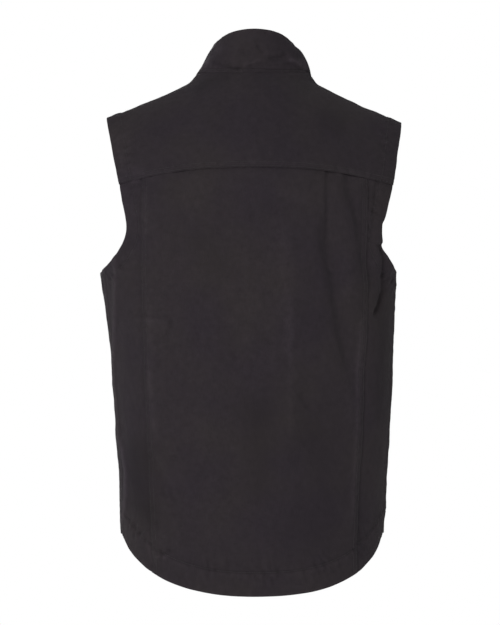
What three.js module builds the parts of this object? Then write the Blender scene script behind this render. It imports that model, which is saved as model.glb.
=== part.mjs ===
// A sleeveless canvas work vest with a stand collar, a back yoke and a dropped tail, in its worn shape.
// Millimetres, +Z up. The wearer faces -Y, so the wearer's left is +X and the back is +Y.
// The origin is where the shoulders carry it: midway between the two sides of the collar's foot.
import * as THREE from "three";

const DEGREE = Math.PI / 180;
const QUARTER_TURN = 90 * DEGREE;
const HALF_TURN = 180 * DEGREE;

// Cloth
const CLOTH_WALL = 2.4;
const COLLAR_WALL = 3.2;
const ZIP_WALL = 2.8;
const SEAM_GAP = 0.5;

// Body sections: how far they reach to the wearer's left and right, and back and forward of the shoulders.
const BODY = [
  { height: 60, left: 245, right: 245, back: 126, front: 126 },
  { height: -60, left: 245, right: 245, back: 130, front: 132 },
  { height: -150, left: 234, right: 234, back: 137, front: 140 },
  { height: -215, left: 225, right: 222, back: 141, front: 146 },
  { height: -275, left: 222, right: 208, back: 141, front: 148 },
  { height: -365, left: 210, right: 203, back: 138, front: 146 },
  { height: -460, left: 202, right: 198.5, back: 134, front: 143 },
  { height: -560, left: 196, right: 192.5, back: 133, front: 141 },
  { height: -650, left: 193, right: 187, back: 134, front: 140 },
  { height: -740, left: 190, right: 182, back: 135, front: 140 },
];
const SECTION_POWER = 2.3; // 2 is an ellipse, more is boxier

// Shoulders: the height of their ridge across the body, and how the cloth rolls over it.
const SHOULDER_RIDGE = [
  { across: 0, height: 36 },
  { across: 40, height: 25 },
  { across: 85, height: 3 },
  { across: 150, height: -27 },
  { across: 214, height: -53 },
  { across: 290, height: -82 },
];
const SHOULDER_TILT = 0.014; // the wearer's left shoulder sits higher
const RIDGE_DEPTH = -4;
const BACK_ROLL = { drop: 185, power: 1.9 };
const FRONT_ROLL = { drop: 245, power: 1.6 };
const SHOULDER_SEAM = -12 * DEGREE; // just forward of the ridge

// Armholes: a half round below the narrowest point, then a slanting line up to the shoulder tip.
const ARMHOLE_BOTTOM = -275;
const ARMHOLE_NARROWEST = -205;
const SHOULDER_TIP = 213;
const ARMHOLES = [
  { side: 1, facing: "back", across: 182, power: 1.05 },
  { side: -1, facing: "back", across: 184, power: 0.75 },
  { side: 1, facing: "front", across: 174, power: 1.3 },
  { side: -1, facing: "front", across: 174, power: 1.3 },
];

// Seams and edges
const PRINCESS_SEAM = [
  { height: -100, across: 154 },
  { height: -290, across: 155 },
  { height: -400, across: 152 },
  { height: -520, across: 147 },
  { height: -740, across: 139 },
];
const SIDE_SEAM = { 1: 76 * DEGREE, [-1]: 80 * DEGREE }; // to the wearer's left and right
const YOKE_SEAM = { middle: -127, fall: 17, fallAcross: 190, power: 1.6 };
const HEM = { back: -727.5, side: -650, front: -656 };
const TAIL_POWER = { 1: 1.86, [-1]: 2.08 }; // the tail hangs a little fuller to the wearer's right
const PLEAT = 99;
const PLEAT_EDGE = 3.5;

// Collar and neckline
const NECK_HALF_WIDTH = 83;
const NECK_BACK_ROLL = 28.5 * DEGREE;
const NECK_FRONT_ROLL = -48 * DEGREE;
const COLLAR_RIM = { left: 60, right: 63.5, back: 56, front: -92 };
const COLLAR_RIM_HEIGHT = [
  { angle: 0, height: 72.5 },
  { angle: 30, height: 70 },
  { angle: 60, height: 61.5 },
  { angle: 90, height: 52 },
  { angle: 135, height: 24 },
  { angle: 180, height: 0 },
];
const COLLAR_BOW = { left: 6, right: 10 }; // how far the collar bulges above its foot

// Front zip
const ZIP_HALF_WIDTH = 4.5;
const FRONT_EDGE = ZIP_HALF_WIDTH + SEAM_GAP;

// Main folds of the back: a groove between two points, or a ridge where the depth is negative.
// The inner width is the slope on the side of the middle, the outer width the slope away from it.
const FOLDS = [
  { name: "right pleat", x1: -99, z1: -128, x2: -100, z2: -225, inner: 3, outer: 28, depth: 6 },
  { name: "right pleat drape", x1: -100, z1: -225, x2: -141, z2: -425, inner: 10, outer: 16, depth: 6 },
  { name: "right shoulder drag", x1: -128, z1: -152, x2: -152, z2: -257, inner: 9, outer: 11, depth: 3.5 },
  { name: "right underarm", x1: -187, z1: -238, x2: -188, z2: -300, inner: 7, outer: 9, depth: 5 },
  { name: "right underarm hook", x1: -188, z1: -300, x2: -170, z2: -338, inner: 7, outer: 8, depth: 4 },
  { name: "left pleat", x1: 99, z1: -128, x2: 98, z2: -250, inner: 3, outer: 24, depth: 2.5 },
  { name: "left side crease", x1: 168, z1: -336, x2: 120, z2: -337, inner: 8, outer: 8, depth: 2.5 },
  { name: "left side hook", x1: 120, z1: -337, x2: 148, z2: -376, inner: 8, outer: 8, depth: 2.5 },
  { name: "waist sag left", x1: 35, z1: -366, x2: 5, z2: -388, inner: 12, outer: 12, depth: 2 },
  { name: "waist sag right", x1: 5, z1: -388, x2: -22, z2: -370, inner: 12, outer: 12, depth: 2 },
  { name: "middle ridge", x1: -46, z1: -350, x2: -44, z2: -600, inner: 16, outer: 18, depth: -2.5 },
  { name: "left ridge", x1: 62, z1: -420, x2: 55, z2: -640, inner: 18, outer: 22, depth: -2 },
  { name: "left hem crease", x1: 148, z1: -527, x2: 112, z2: -592, inner: 9, outer: 9, depth: 2.5 },
  { name: "right seam hollow", x1: -150, z1: -520, x2: -145, z2: -690, inner: 8, outer: 14, depth: 3.5 },
];

// Grids of the panels: how many squares each stretch is cut into
const LOWER_ROWS = 15;
const UPPER_ROWS = 10;
const NECK_BACK_STEPS = 9;
const NECK_FRONT_STEPS = 7;
const SHOULDER_STEPS = 8;
const FRONT_STEPS = 16;
const FRONT_ROUND_ROWS = 7;
const SIDE_STEPS = 6;
const YOKE_ROWS = 9;
const COLLAR_ROWS = 5;
const PLEAT_STEPS = { inside: 6, outside: 5 };
const ZIP_COLUMNS = 2;
const ZIP_ROWS = 22;
// The front's rows dip to this height at the zip, so that they leave the armhole squarely.
const FRONT_DIP = -420;

const mix = THREE.MathUtils.lerp;
const clamp01 = (value) => THREE.MathUtils.clamp(value, 0, 1);
const signedPower = (value, power) => Math.sign(value) * Math.abs(value) ** power;
const spotAt = (a, b) => new THREE.Vector2(a, b);

// Evenly spaced values from one to another, both included.
function stops(from, to, count) {
  return Array.from({ length: count + 1 }, (_, i) => mix(from, to, i / count));
}

// The value that a function gives back unchanged, reached by applying it again and again.
function settle(next, start) {
  let value = start;
  for (let i = 0; i < 20; i += 1) value = next(value);
  return value;
}

// Reads every column of a table at one value of its key column, on a smooth curve that ends level.
function readTable(table, key, value) {
  const rising = table.at(-1)[key] > table[0][key] ? 1 : -1;
  const following = table.findIndex((row) => (row[key] - value) * rising > 0);
  const index = following < 0 ? table.length - 2 : Math.max(following - 1, 0);
  const [from, to] = [table[index], table[index + 1]];
  const [before, after] = [table[index - 1], table[index + 2]];
  const span = to[key] - from[key];
  const t = clamp01((value - from[key]) / span);
  const found = {};
  for (const column of Object.keys(from)) {
    const slope = (a, b) => (a && b ? (b[column] - a[column]) / (b[key] - a[key]) : 0);
    const leaving = slope(before, to) * span * t * (1 - t) ** 2;
    const arriving = slope(from, after) * span * t * t * (t - 1);
    found[column] = mix(from[column], to[column], t * t * (3 - 2 * t)) + leaving + arriving;
  }
  return found;
}

const halfWidthAt = (side, height) => readTable(BODY, "height", height)[side > 0 ? "left" : "right"];
const princessAcross = (height) => readTable(PRINCESS_SEAM, "height", height).across;

// The angle on a section, from the middle of the back, of a point that far across its back half.
function angleAt(side, across, height) {
  return Math.asin(Math.min(1, (across / halfWidthAt(side, height)) ** (SECTION_POWER / 2)));
}

function ridgeHeight(x) {
  return readTable(SHOULDER_RIDGE, "across", Math.abs(x)).height + SHOULDER_TILT * x;
}

// The smooth body at an angle from the middle of the back, positive to the wearer's left, and a height.
function bodyForm(angle, height) {
  const section = readTable(BODY, "height", height);
  const reach = Math.sin(angle) > 0 ? section.left : section.right;
  const x = reach * signedPower(Math.sin(angle), 2 / SECTION_POWER);
  const facing = signedPower(Math.cos(angle), 2 / SECTION_POWER);
  const [depth, roll] = facing > 0 ? [section.back, BACK_ROLL] : [section.front, FRONT_ROLL];
  const left = 1 - clamp01((ridgeHeight(x) - height) / roll.drop);
  const share = (1 - left ** roll.power) ** (1 / roll.power);
  return new THREE.Vector3(x, mix(RIDGE_DEPTH, depth * facing, share), height);
}

// The same body over the shoulders: how far across, and by the angle of the roll, positive to the back.
function shoulderForm(x, rollAngle) {
  const roll = rollAngle > 0 ? BACK_ROLL : FRONT_ROLL;
  const height = ridgeHeight(x) - roll.drop * (1 - Math.cos(rollAngle) ** (2 / roll.power));
  const section = readTable(BODY, "height", height);
  const outwards = Math.min(1, Math.abs(x) / (x > 0 ? section.left : section.right));
  const facing = (1 - outwards ** SECTION_POWER) ** (1 / SECTION_POWER);
  const depth = rollAngle > 0 ? section.back : -section.front;
  const share = Math.abs(Math.sin(rollAngle)) ** (2 / roll.power);
  return new THREE.Vector3(x, mix(RIDGE_DEPTH, depth * facing, share), height);
}

// A spot of the front by its angle and height, given instead by its angle and its share of the roll over the
// shoulder: from 0 on the ridge to 1 at the end of the roll, and straight down below that.
function toRollShare(side, { x: angle, y: height }) {
  const drop = (ridgeHeight(bodyForm(side * angle, height).x) - height) / FRONT_ROLL.drop;
  return spotAt(angle, drop < 1 ? Math.acos((1 - drop) ** (FRONT_ROLL.power / 2)) / QUARTER_TURN : drop);
}

function fromRollShare(side, { x: angle, y: share }) {
  const eased = share < 1 ? 1 - Math.cos(share * QUARTER_TURN) ** (2 / FRONT_ROLL.power) : share;
  const below = (height) => ridgeHeight(bodyForm(side * angle, height).x) - FRONT_ROLL.drop * eased;
  return spotAt(angle, settle(below, ARMHOLE_NARROWEST));
}

// How far the folds raise the cloth at a point of the smooth body.
function foldRise({ x, y, z }) {
  if (y < 0) return 0;
  let rise = 0;
  for (const fold of FOLDS) {
    const run = spotAt(fold.x2 - fold.x1, fold.z2 - fold.z1);
    const away = spotAt(x - fold.x1, z - fold.z1);
    const along = clamp01(away.dot(run) / run.lengthSq());
    away.addScaledVector(run, -along);
    const outwards = away.x * (fold.x1 + fold.x2) > 0;
    rise -= fold.depth * Math.exp(-away.lengthSq() / (outwards ? fold.outer : fold.inner) ** 2);
  }
  return rise;
}

// The outward normal of a form, turned over where its second value doesn't run to the left of its first.
function normalOf(form, a, b, turn) {
  const step = 1e-3;
  const alongA = form(a + step, b).sub(form(a - step, b));
  const alongB = form(a, b + step).sub(form(a, b - step));
  return alongA.cross(alongB).multiplyScalar(turn).normalize();
}

// A point of a form with its folds, and the smooth form's normal there.
function dressed(form, a, b, turn) {
  const normal = normalOf(form, a, b, turn);
  const point = form(a, b);
  return { point: point.addScaledVector(normal, foldRise(point)), normal };
}

const onBody = (spot) => dressed(bodyForm, spot.x, spot.y, -1);
const onShoulder = (spot) => dressed(shoulderForm, spot.x, spot.y, 1);

// A closed wall of cloth: a grid of columns and rows on a surface, with its thickness on the inside.
// Its edges stand back half a seam gap. It is turned over where its columns run the other way round the body.
function wallGeometry(columns, rows, surface, wall, turned = false) {
  const grid = columns.map((u) => rows.map((v) => surface(u, v)));
  const standBack = (spots) => {
    for (const [edge, next] of [[spots[0], spots[1]], [spots.at(-1), spots.at(-2)]]) {
      edge.point.add(next.point.clone().sub(edge.point).setLength(SEAM_GAP / 2));
    }
  };
  grid.forEach(standBack);
  rows.forEach((_, row) => standBack(grid.map((column) => column[row])));
  const [lastColumn, lastRow] = [columns.length - 1, rows.length - 1];
  const geometry = new THREE.BoxGeometry(1, 1, 1, lastColumn, lastRow, 1);
  const place = geometry.getAttribute("position");
  for (let i = 0; i < place.count; i += 1) {
    const column = Math.round((place.getX(i) + 0.5) * lastColumn);
    const row = Math.round((place.getY(i) + 0.5) * lastRow);
    const inside = place.getZ(i) < 0 !== turned;
    const { point, normal } = grid[column][row];
    const spot = point.clone().addScaledVector(normal, inside ? -wall : 0);
    place.setXYZ(i, spot.x, spot.y, spot.z);
  }
  // Both faces split their squares along the same diagonal, so that the wall keeps its thickness.
  const index = geometry.getIndex();
  const farFace = geometry.groups.at(-1);
  for (let i = farFace.start; i < farFace.start + farFace.count; i += 6) {
    index.setX(i + 2, index.getX(i + 4));
    index.setX(i + 3, index.getX(i));
  }
  geometry.deleteAttribute("uv");
  geometry.computeVertexNormals();
  return geometry;
}

// Fills a panel's four edges: bottom and top run with u, start and end run with v.
function patch({ bottom, top, start, end }) {
  const corners = [bottom(0), bottom(1), top(0), top(1)];
  return (u, v) => {
    const upwards = bottom(u).lerp(top(u), v);
    const sideways = start(v).lerp(end(v), u);
    const low = corners[0].clone().lerp(corners[1], u);
    const high = corners[2].clone().lerp(corners[3], u);
    return upwards.add(sideways).sub(low.lerp(high, v));
  };
}

// The hem of the back, a curved tail between the side seams.
function tailHeight(side, angle) {
  return mix(HEM.back, HEM.side, (angle / SIDE_SEAM[side]) ** TAIL_POWER[side]);
}

function yokeSeamHeight(x) {
  return YOKE_SEAM.middle - YOKE_SEAM.fall * (Math.abs(x) / YOKE_SEAM.fallAcross) ** YOKE_SEAM.power;
}

function yokeSeamRoll(x) {
  const left = 1 - (ridgeHeight(x) - yokeSeamHeight(x)) / BACK_ROLL.drop;
  return Math.acos(left ** (BACK_ROLL.power / 2));
}

const armholeEdge = (side, facing) => ARMHOLES.find((edge) => edge.side === side && edge.facing === facing);

// How far out the armhole's edge is at a height above its narrowest point.
function armholeAcross({ side, across, power }, height) {
  const fullRise = ridgeHeight(side * SHOULDER_TIP) - ARMHOLE_NARROWEST;
  return mix(across, SHOULDER_TIP, clamp01((height - ARMHOLE_NARROWEST) / fullRise) ** power);
}

// Where the armhole's edge crosses a line that gives heights across the body.
function armholeCrossing(edge, lineHeight) {
  return settle((across) => armholeAcross(edge, lineHeight(edge.side * across)), edge.across);
}

// The armhole's edge over the shoulder, at an angle of the roll.
function armholeOverShoulder(side, rollAngle) {
  const edge = armholeEdge(side, rollAngle > 0 ? "back" : "front");
  return armholeCrossing(edge, (x) => shoulderForm(x, rollAngle).z);
}

const armholeInset = ({ side, across }) => QUARTER_TURN - angleAt(side, across, ARMHOLE_NARROWEST);

// The half round of the armhole, from its bottom at the side (0) to its narrowest point (1).
function armholeRound(edge, share) {
  const turn = share * QUARTER_TURN;
  const inset = armholeInset(edge) * Math.sin(turn);
  const height = mix(ARMHOLE_NARROWEST, ARMHOLE_BOTTOM, Math.cos(turn));
  return spotAt(QUARTER_TURN + (edge.facing === "back" ? -inset : inset), height);
}

// The share of the half round, behind its bottom, where the side seam meets it.
function underarmShare(side) {
  const behind = (QUARTER_TURN - SIDE_SEAM[side]) / armholeInset(armholeEdge(side, "back"));
  return Math.asin(behind) / (QUARTER_TURN);
}

// How far out a ring round the neck is, from the middle of the back (0) to the front edge (180 degrees).
function ringAcross(angle, halfWidth) {
  const middle = angle > QUARTER_TURN ? FRONT_EDGE : 0;
  return mix(middle, halfWidth, Math.sin(angle));
}

// The neckline, from the middle of the back over the shoulder (90 degrees) to the front edge.
function neckline(angle) {
  const reach = Math.cos(angle);
  const end = reach > 0 ? NECK_BACK_ROLL : NECK_FRONT_ROLL;
  return spotAt(ringAcross(angle, NECK_HALF_WIDTH), mix(SHOULDER_SEAM, end, Math.abs(reach)));
}

// Rows of the body's panels run from the hem (0) past the underarm to the top (1). Above the underarm, the
// half round of the armhole takes a share of them.
const UNDERARM_ROW = 0.7;
const BACK_ROUND = 0.6;
const FRONT_ROUND = 0.55;
const BODY_ROWS = [
  ...stops(0, UNDERARM_ROW, LOWER_ROWS),
  ...stops(UNDERARM_ROW, 1, UPPER_ROWS).slice(1),
];
const climbBelow = (v) => clamp01(v / UNDERARM_ROW);
const climbAbove = (v) => clamp01((v - UNDERARM_ROW) / (1 - UNDERARM_ROW));
const climb = (v, hem, underarm, top) => mix(mix(hem, underarm, climbBelow(v)), top, climbAbove(v));

// A line up the back that keeps its share of the way to the princess seam.
function backLine(side, share) {
  const angle = (height) => angleAt(side, share * princessAcross(height), height);
  const hem = settle((height) => tailHeight(side, angle(height)), HEM.back);
  const top = settle((height) => yokeSeamHeight(share * princessAcross(height)), YOKE_SEAM.middle);
  return (v) => {
    const height = climb(v, hem, ARMHOLE_BOTTOM, top);
    return spotAt(angle(height), height);
  };
}

function backPanel() {
  const pleatShare = PLEAT / PRINCESS_SEAM[0].across;
  const edgeShare = (PLEAT - PLEAT_EDGE) / PRINCESS_SEAM[0].across;
  const half = [
    ...stops(0, edgeShare, PLEAT_STEPS.inside),
    ...stops(pleatShare, 1, PLEAT_STEPS.outside),
  ];
  const columns = [...half.slice(1).reverse(), ...half.map((share) => -share)];
  const surface = (share, v) => {
    const side = Math.sign(share) || 1;
    const spot = backLine(side, Math.abs(share))(v);
    return onBody(spotAt(side * spot.x, spot.y));
  };
  return wallGeometry(columns, BODY_ROWS, surface, CLOTH_WALL);
}

// From the side seam to the princess seam, cut away by the armhole.
function backSidePanel(side) {
  const edge = armholeEdge(side, "back");
  const seamAcross = armholeCrossing(edge, yokeSeamHeight);
  const seamHeight = yokeSeamHeight(seamAcross);
  const outer = (v) => {
    const rise = climbAbove(v);
    const round = armholeRound(edge, mix(underarmShare(side), 1, clamp01(rise / BACK_ROUND)));
    if (rise <= 0) return spotAt(SIDE_SEAM[side], mix(HEM.side, round.y, climbBelow(v)));
    if (rise < BACK_ROUND) return round;
    const height = mix(ARMHOLE_NARROWEST, seamHeight, (rise - BACK_ROUND) / (1 - BACK_ROUND));
    return spotAt(angleAt(side, armholeAcross(edge, height), height), height);
  };
  const hemAngle = (u) => mix(SIDE_SEAM[side], backLine(side, 1)(0).x, u);
  const fill = patch({
    bottom: (u) => spotAt(hemAngle(u), tailHeight(side, hemAngle(u))),
    top: (u) => {
      const across = mix(seamAcross, princessAcross(seamHeight), u);
      const height = yokeSeamHeight(across);
      return spotAt(angleAt(side, across, height), height);
    },
    start: outer,
    end: backLine(side, 1),
  });
  const surface = (u, v) => {
    const spot = fill(u, v);
    return onBody(spotAt(side * spot.x, spot.y));
  };
  return wallGeometry(stops(0, 1, SIDE_STEPS), BODY_ROWS, surface, CLOTH_WALL, side < 0);
}

// From the side seam round to the zip, cut away by the armhole, the shoulder seam and the neckline.
function frontPanel(side) {
  const seamTip = armholeOverShoulder(side, SHOULDER_SEAM);
  const seamTipHeight = shoulderForm(side * seamTip, SHOULDER_SEAM).z;
  const neckHeight = shoulderForm(side * FRONT_EDGE, NECK_FRONT_ROLL).z;
  const frontSpot = (across, height) => spotAt(HALF_TURN - angleAt(side, across, height), height);
  const overShoulder = (across, roll) => frontSpot(across, shoulderForm(side * across, roll).z);
  const edge = armholeEdge(side, "front");
  const armhole = (v) => {
    const rise = climbAbove(v);
    const turn = mix(-underarmShare(side), 1, clamp01(rise / FRONT_ROUND));
    const round = armholeRound(turn < 0 ? armholeEdge(side, "back") : edge, Math.abs(turn));
    if (rise <= 0) return spotAt(SIDE_SEAM[side], mix(HEM.side, round.y, climbBelow(v)));
    if (rise < FRONT_ROUND) return round;
    const height = mix(ARMHOLE_NARROWEST, seamTipHeight, (rise - FRONT_ROUND) / (1 - FRONT_ROUND));
    return frontSpot(armholeAcross(edge, height), height);
  };
  const zipAndNeck = (v) => {
    const rise = climbAbove(v);
    const ring = neckline(HALF_TURN - QUARTER_TURN * clamp01((rise - FRONT_ROUND) / (1 - FRONT_ROUND)));
    if (rise > FRONT_ROUND) return overShoulder(ring.x, ring.y);
    const upper = clamp01(rise / FRONT_ROUND);
    return frontSpot(FRONT_EDGE, mix(mix(HEM.front, FRONT_DIP, climbBelow(v)), neckHeight, upper));
  };
  const hemAngle = (u) => mix(SIDE_SEAM[side], zipAndNeck(0).x, u);
  const fill = patch({
    bottom: (u) => toRollShare(side, spotAt(hemAngle(u), mix(HEM.side, HEM.front, u))),
    top: (u) => toRollShare(side, overShoulder(mix(seamTip, NECK_HALF_WIDTH, u), SHOULDER_SEAM)),
    start: (v) => toRollShare(side, armhole(v)),
    end: (v) => toRollShare(side, zipAndNeck(v)),
  });
  const surface = (u, v) => {
    const spot = fromRollShare(side, fill(u, v));
    return onBody(spotAt(side * spot.x, spot.y));
  };
  const neckRow = mix(UNDERARM_ROW, 1, FRONT_ROUND);
  const rows = [
    ...stops(0, UNDERARM_ROW, LOWER_ROWS),
    ...stops(UNDERARM_ROW, neckRow, FRONT_ROUND_ROWS).slice(1),
    ...stops(neckRow, 1, NECK_FRONT_STEPS).slice(1),
  ];
  return wallGeometry(stops(0, 1, FRONT_STEPS), rows, surface, CLOTH_WALL, side > 0);
}

// Across the top of the back and over both shoulders, with the back half of the neckline cut out.
// Its columns run by their share of the way out, from 1 at the wearer's left armhole to -1 at the right.
function backYoke() {
  const seamEnd = (side) => side * armholeCrossing(armholeEdge(side, "back"), yokeSeamHeight);
  const overShoulder = (side) => (v) => {
    const rollAngle = mix(yokeSeamRoll(seamEnd(side)), SHOULDER_SEAM, v);
    return spotAt(side * armholeOverShoulder(side, rollAngle), rollAngle);
  };
  const neckShare = NECK_HALF_WIDTH / SHOULDER_TIP;
  const bottom = (share) => {
    const x = Math.abs(share) * seamEnd(share > 0 ? 1 : -1);
    return spotAt(x, yokeSeamRoll(x));
  };
  const top = (share) => {
    const side = share > 0 ? 1 : -1;
    const beyond = clamp01((Math.abs(share) - neckShare) / (1 - neckShare));
    const ring = neckline(QUARTER_TURN * clamp01(Math.abs(share) / neckShare));
    return spotAt(mix(side * ring.x, overShoulder(side)(1).x, beyond), ring.y);
  };
  const fill = patch({
    bottom: (u) => bottom(1 - 2 * u),
    top: (u) => top(1 - 2 * u),
    start: overShoulder(1),
    end: overShoulder(-1),
  });
  const half = [...stops(0, neckShare, NECK_BACK_STEPS), ...stops(neckShare, 1, SHOULDER_STEPS).slice(1)];
  const shares = [...half.slice(1).reverse(), ...half.map((share) => -share)];
  const surface = (share, v) => onShoulder(fill((1 - share) / 2, v));
  return wallGeometry(shares, stops(0, 1, YOKE_ROWS), surface, CLOTH_WALL);
}

// The collar, by the neckline's angle and a share of the way up to its rim.
function collarForm(angle, rise) {
  const side = angle < 0 ? -1 : 1;
  const word = angle < 0 ? "right" : "left";
  const foot = neckline(Math.abs(angle));
  const base = shoulderForm(side * foot.x, foot.y);
  const rim = new THREE.Vector3(
    side * ringAcross(Math.abs(angle), COLLAR_RIM[word]),
    mix(COLLAR_RIM.front, COLLAR_RIM.back, (1 + Math.cos(angle)) / 2),
    readTable(COLLAR_RIM_HEIGHT, "angle", Math.abs(angle) / DEGREE).height,
  );
  const bulge = mix(COLLAR_BOW.left, COLLAR_BOW[word], Math.abs(Math.sin(angle)));
  const outwards = new THREE.Vector3(Math.sin(angle), Math.cos(angle), 0);
  return base.lerp(rim, rise).addScaledVector(outwards, bulge * Math.sin(Math.PI * rise) * (1 - rise));
}

function standCollar() {
  const half = [
    ...stops(0, QUARTER_TURN, NECK_BACK_STEPS),
    ...stops(QUARTER_TURN, HALF_TURN, NECK_FRONT_STEPS).slice(1),
  ];
  const columns = [...half.slice(1).reverse(), ...half.map((angle) => -angle)];
  const surface = (angle, rise) => ({
    point: collarForm(angle, rise),
    normal: normalOf(collarForm, angle, rise, -1),
  });
  return wallGeometry(columns, stops(0, 1, COLLAR_ROWS), surface, COLLAR_WALL);
}

// The closed zip, from the front hem over the neckline (row 1) to the collar's rim (row 2).
function frontZip() {
  const neckHeight = shoulderForm(0, NECK_FRONT_ROLL).z;
  const middle = (x, row) => {
    const body = bodyForm(HALF_TURN, mix(HEM.front, neckHeight, Math.min(row, 1)));
    const path = row > 1 ? collarForm(HALF_TURN, row - 1) : body;
    return new THREE.Vector3(x, path.y, path.z);
  };
  const surface = (x, row) => ({ point: middle(x, row), normal: normalOf(middle, x, row, 1) });
  const rows = [...stops(0, 1, ZIP_ROWS), ...stops(1, 2, COLLAR_ROWS).slice(1)];
  const columns = stops(-ZIP_HALF_WIDTH, ZIP_HALF_WIDTH, ZIP_COLUMNS);
  return wallGeometry(columns, rows, surface, ZIP_WALL);
}

const CANVAS = { color: 0x302c2e, roughness: 0.92, metalness: 0 };
const ZIP_BLACK = { color: 0x1c1b1c, roughness: 0.5, metalness: 0.1 };

const vest = new THREE.Group();

function addPiece(name, geometry, finish) {
  const piece = new THREE.Mesh(geometry, new THREE.MeshStandardMaterial(finish));
  piece.name = name;
  vest.add(piece);
}

addPiece("back_yoke", backYoke(), CANVAS);
addPiece("back_panel", backPanel(), CANVAS);
for (const [word, side] of [["left", 1], ["right", -1]]) {
  addPiece(`back_side_panel_${word}`, backSidePanel(side), CANVAS);
  addPiece(`front_panel_${word}`, frontPanel(side), CANVAS);
}
addPiece("stand_collar", standCollar(), CANVAS);
addPiece("front_zip", frontZip(), ZIP_BLACK);

export default vest;
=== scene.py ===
"""Dresses the vest: canvas panels with stitched and washed seams, a zip, studio light and a camera.

Sizes are in millimetres, in the part's own frame: +Z up, the wearer faces -Y, the wearer's left is +X.
"""
import math

import bpy
import numpy as np
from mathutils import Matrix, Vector


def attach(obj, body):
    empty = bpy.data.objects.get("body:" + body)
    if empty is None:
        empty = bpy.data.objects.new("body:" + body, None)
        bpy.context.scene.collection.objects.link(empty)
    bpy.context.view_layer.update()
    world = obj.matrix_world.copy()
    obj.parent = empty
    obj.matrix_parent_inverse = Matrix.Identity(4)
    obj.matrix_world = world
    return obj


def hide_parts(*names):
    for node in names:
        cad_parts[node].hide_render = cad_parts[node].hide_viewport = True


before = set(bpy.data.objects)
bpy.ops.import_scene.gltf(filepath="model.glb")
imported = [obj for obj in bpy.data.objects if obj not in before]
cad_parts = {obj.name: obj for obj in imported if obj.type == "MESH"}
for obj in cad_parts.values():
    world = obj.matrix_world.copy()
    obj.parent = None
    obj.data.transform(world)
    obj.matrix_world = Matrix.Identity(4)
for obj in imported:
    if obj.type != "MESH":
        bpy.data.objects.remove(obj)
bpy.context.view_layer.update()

MM = 0.001
DEGREE = math.pi / 180
QUARTER_TURN = 90 * DEGREE
HALF_TURN = 180 * DEGREE
FULL_TURN = 2 * math.pi
ASIDE = np.array([1.0, 0, 0])

# Cloth
GRID = 2.5  # spacing of the points on the cloth
FINE_GRID = 1.1  # and along its edges
FINE_BAND = 13.0
WALL = 1.3
COLLAR_WALL = 2.6
LAP = 2.4  # how far a lapped panel reaches past its seam
PRINCESS_LAP = 0.6
UNDERLAP = 9.0  # how far the panel below it carries on
NECK_TUCK = 3.0  # how far the panels reach under the collar
RIM_STEPS = 3
EDGE_STEP = 2  # an edge is measured from every second point on it
BODY_CENTRE = (0, 0, -250)  # a point that the body's panels face away from
COLLAR_CENTRE = (0, -15, -20)

# About how far each panel reaches across and up, for the spacing of its points
PANEL_SPAN = {
    "back": (300, 600), "side": (85, 590), "front": (270, 690), "yoke": (430, 185), "collar": (520, 78),
}

# Searches for the places where seams cross: how often they are repeated and where they start
SETTLE_ROUNDS = 20
FIRST_SEAM_HEIGHT = -130.0
FIRST_ACROSS = 190.0

# Body sections: how far they reach to the left and right, and back and forward of the shoulders
BODY = {
    "height": [-740, -650, -560, -460, -365, -275, -215, -150, -60, 60],
    "left": [190, 193, 196, 202, 210, 222, 225, 234, 245, 245],
    "right": [182, 187, 192.5, 198.5, 202.5, 205.5, 222, 234, 245, 245],
    "back": [135, 134, 133, 134, 138, 141, 141, 137, 130, 126],
    "front": [140, 140, 141, 143, 146, 148, 146, 140, 132, 126],
}
SECTION_POWER = 2.3
GIRTH_RADIUS = 190.0  # about the distance from the side seams to the middle

# Shoulders
SHOULDER_RIDGE = {
    "across": [0, 40, 85, 150, 214, 290],
    "height": [36, 25, 3, -27, -53, -82],
}
SHOULDER_TILT = 0.014
RIDGE_DEPTH = -4
ROLL_DROP = {"back": 185, "front": 245}
ROLL_POWER = {"back": 1.9, "front": 1.6}
SHOULDER_SEAM = -12 * DEGREE
SHOULDER_LAP = 1.2 * DEGREE
SHOULDER_UNDERLAP = 3.5 * DEGREE

# Armholes
ARMHOLE_BOTTOM = -275
ARMHOLE_NARROWEST = -205
SHOULDER_TIP = 213
ARMHOLE_ACROSS = {(1, "back"): 179.5, (-1, "back"): 180.5, (1, "front"): 174, (-1, "front"): 174}
ARMHOLE_POWER = {(1, "back"): 1.05, (-1, "back"): 0.75, (1, "front"): 1.3, (-1, "front"): 1.3}

# Seams and edges
PRINCESS_SEAM = {
    "height": [-740, -520, -400, -290, -100],
    "left": [142, 150, 155, 158, 157],
    "right": [144, 152, 157, 160, 159],
}
PRINCESS_ACROSS = 150.0  # its usual distance from the middle
SIDE_SEAM = {1: 76 * DEGREE, -1: 80 * DEGREE}
YOKE_SEAM = {"middle": -126.5, "fall": 20.5, "across": 190, "power": 2.4}
HEM = {"back": -725.5, "side": -648, "front": -656}
TAIL_POWER = {1: 1.92, -1: 2.1}
UNDERARM_ROW = 0.7
BACK_ROUND = 0.6
FRONT_ROUND = 0.55
FRONT_DIP = -420

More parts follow.
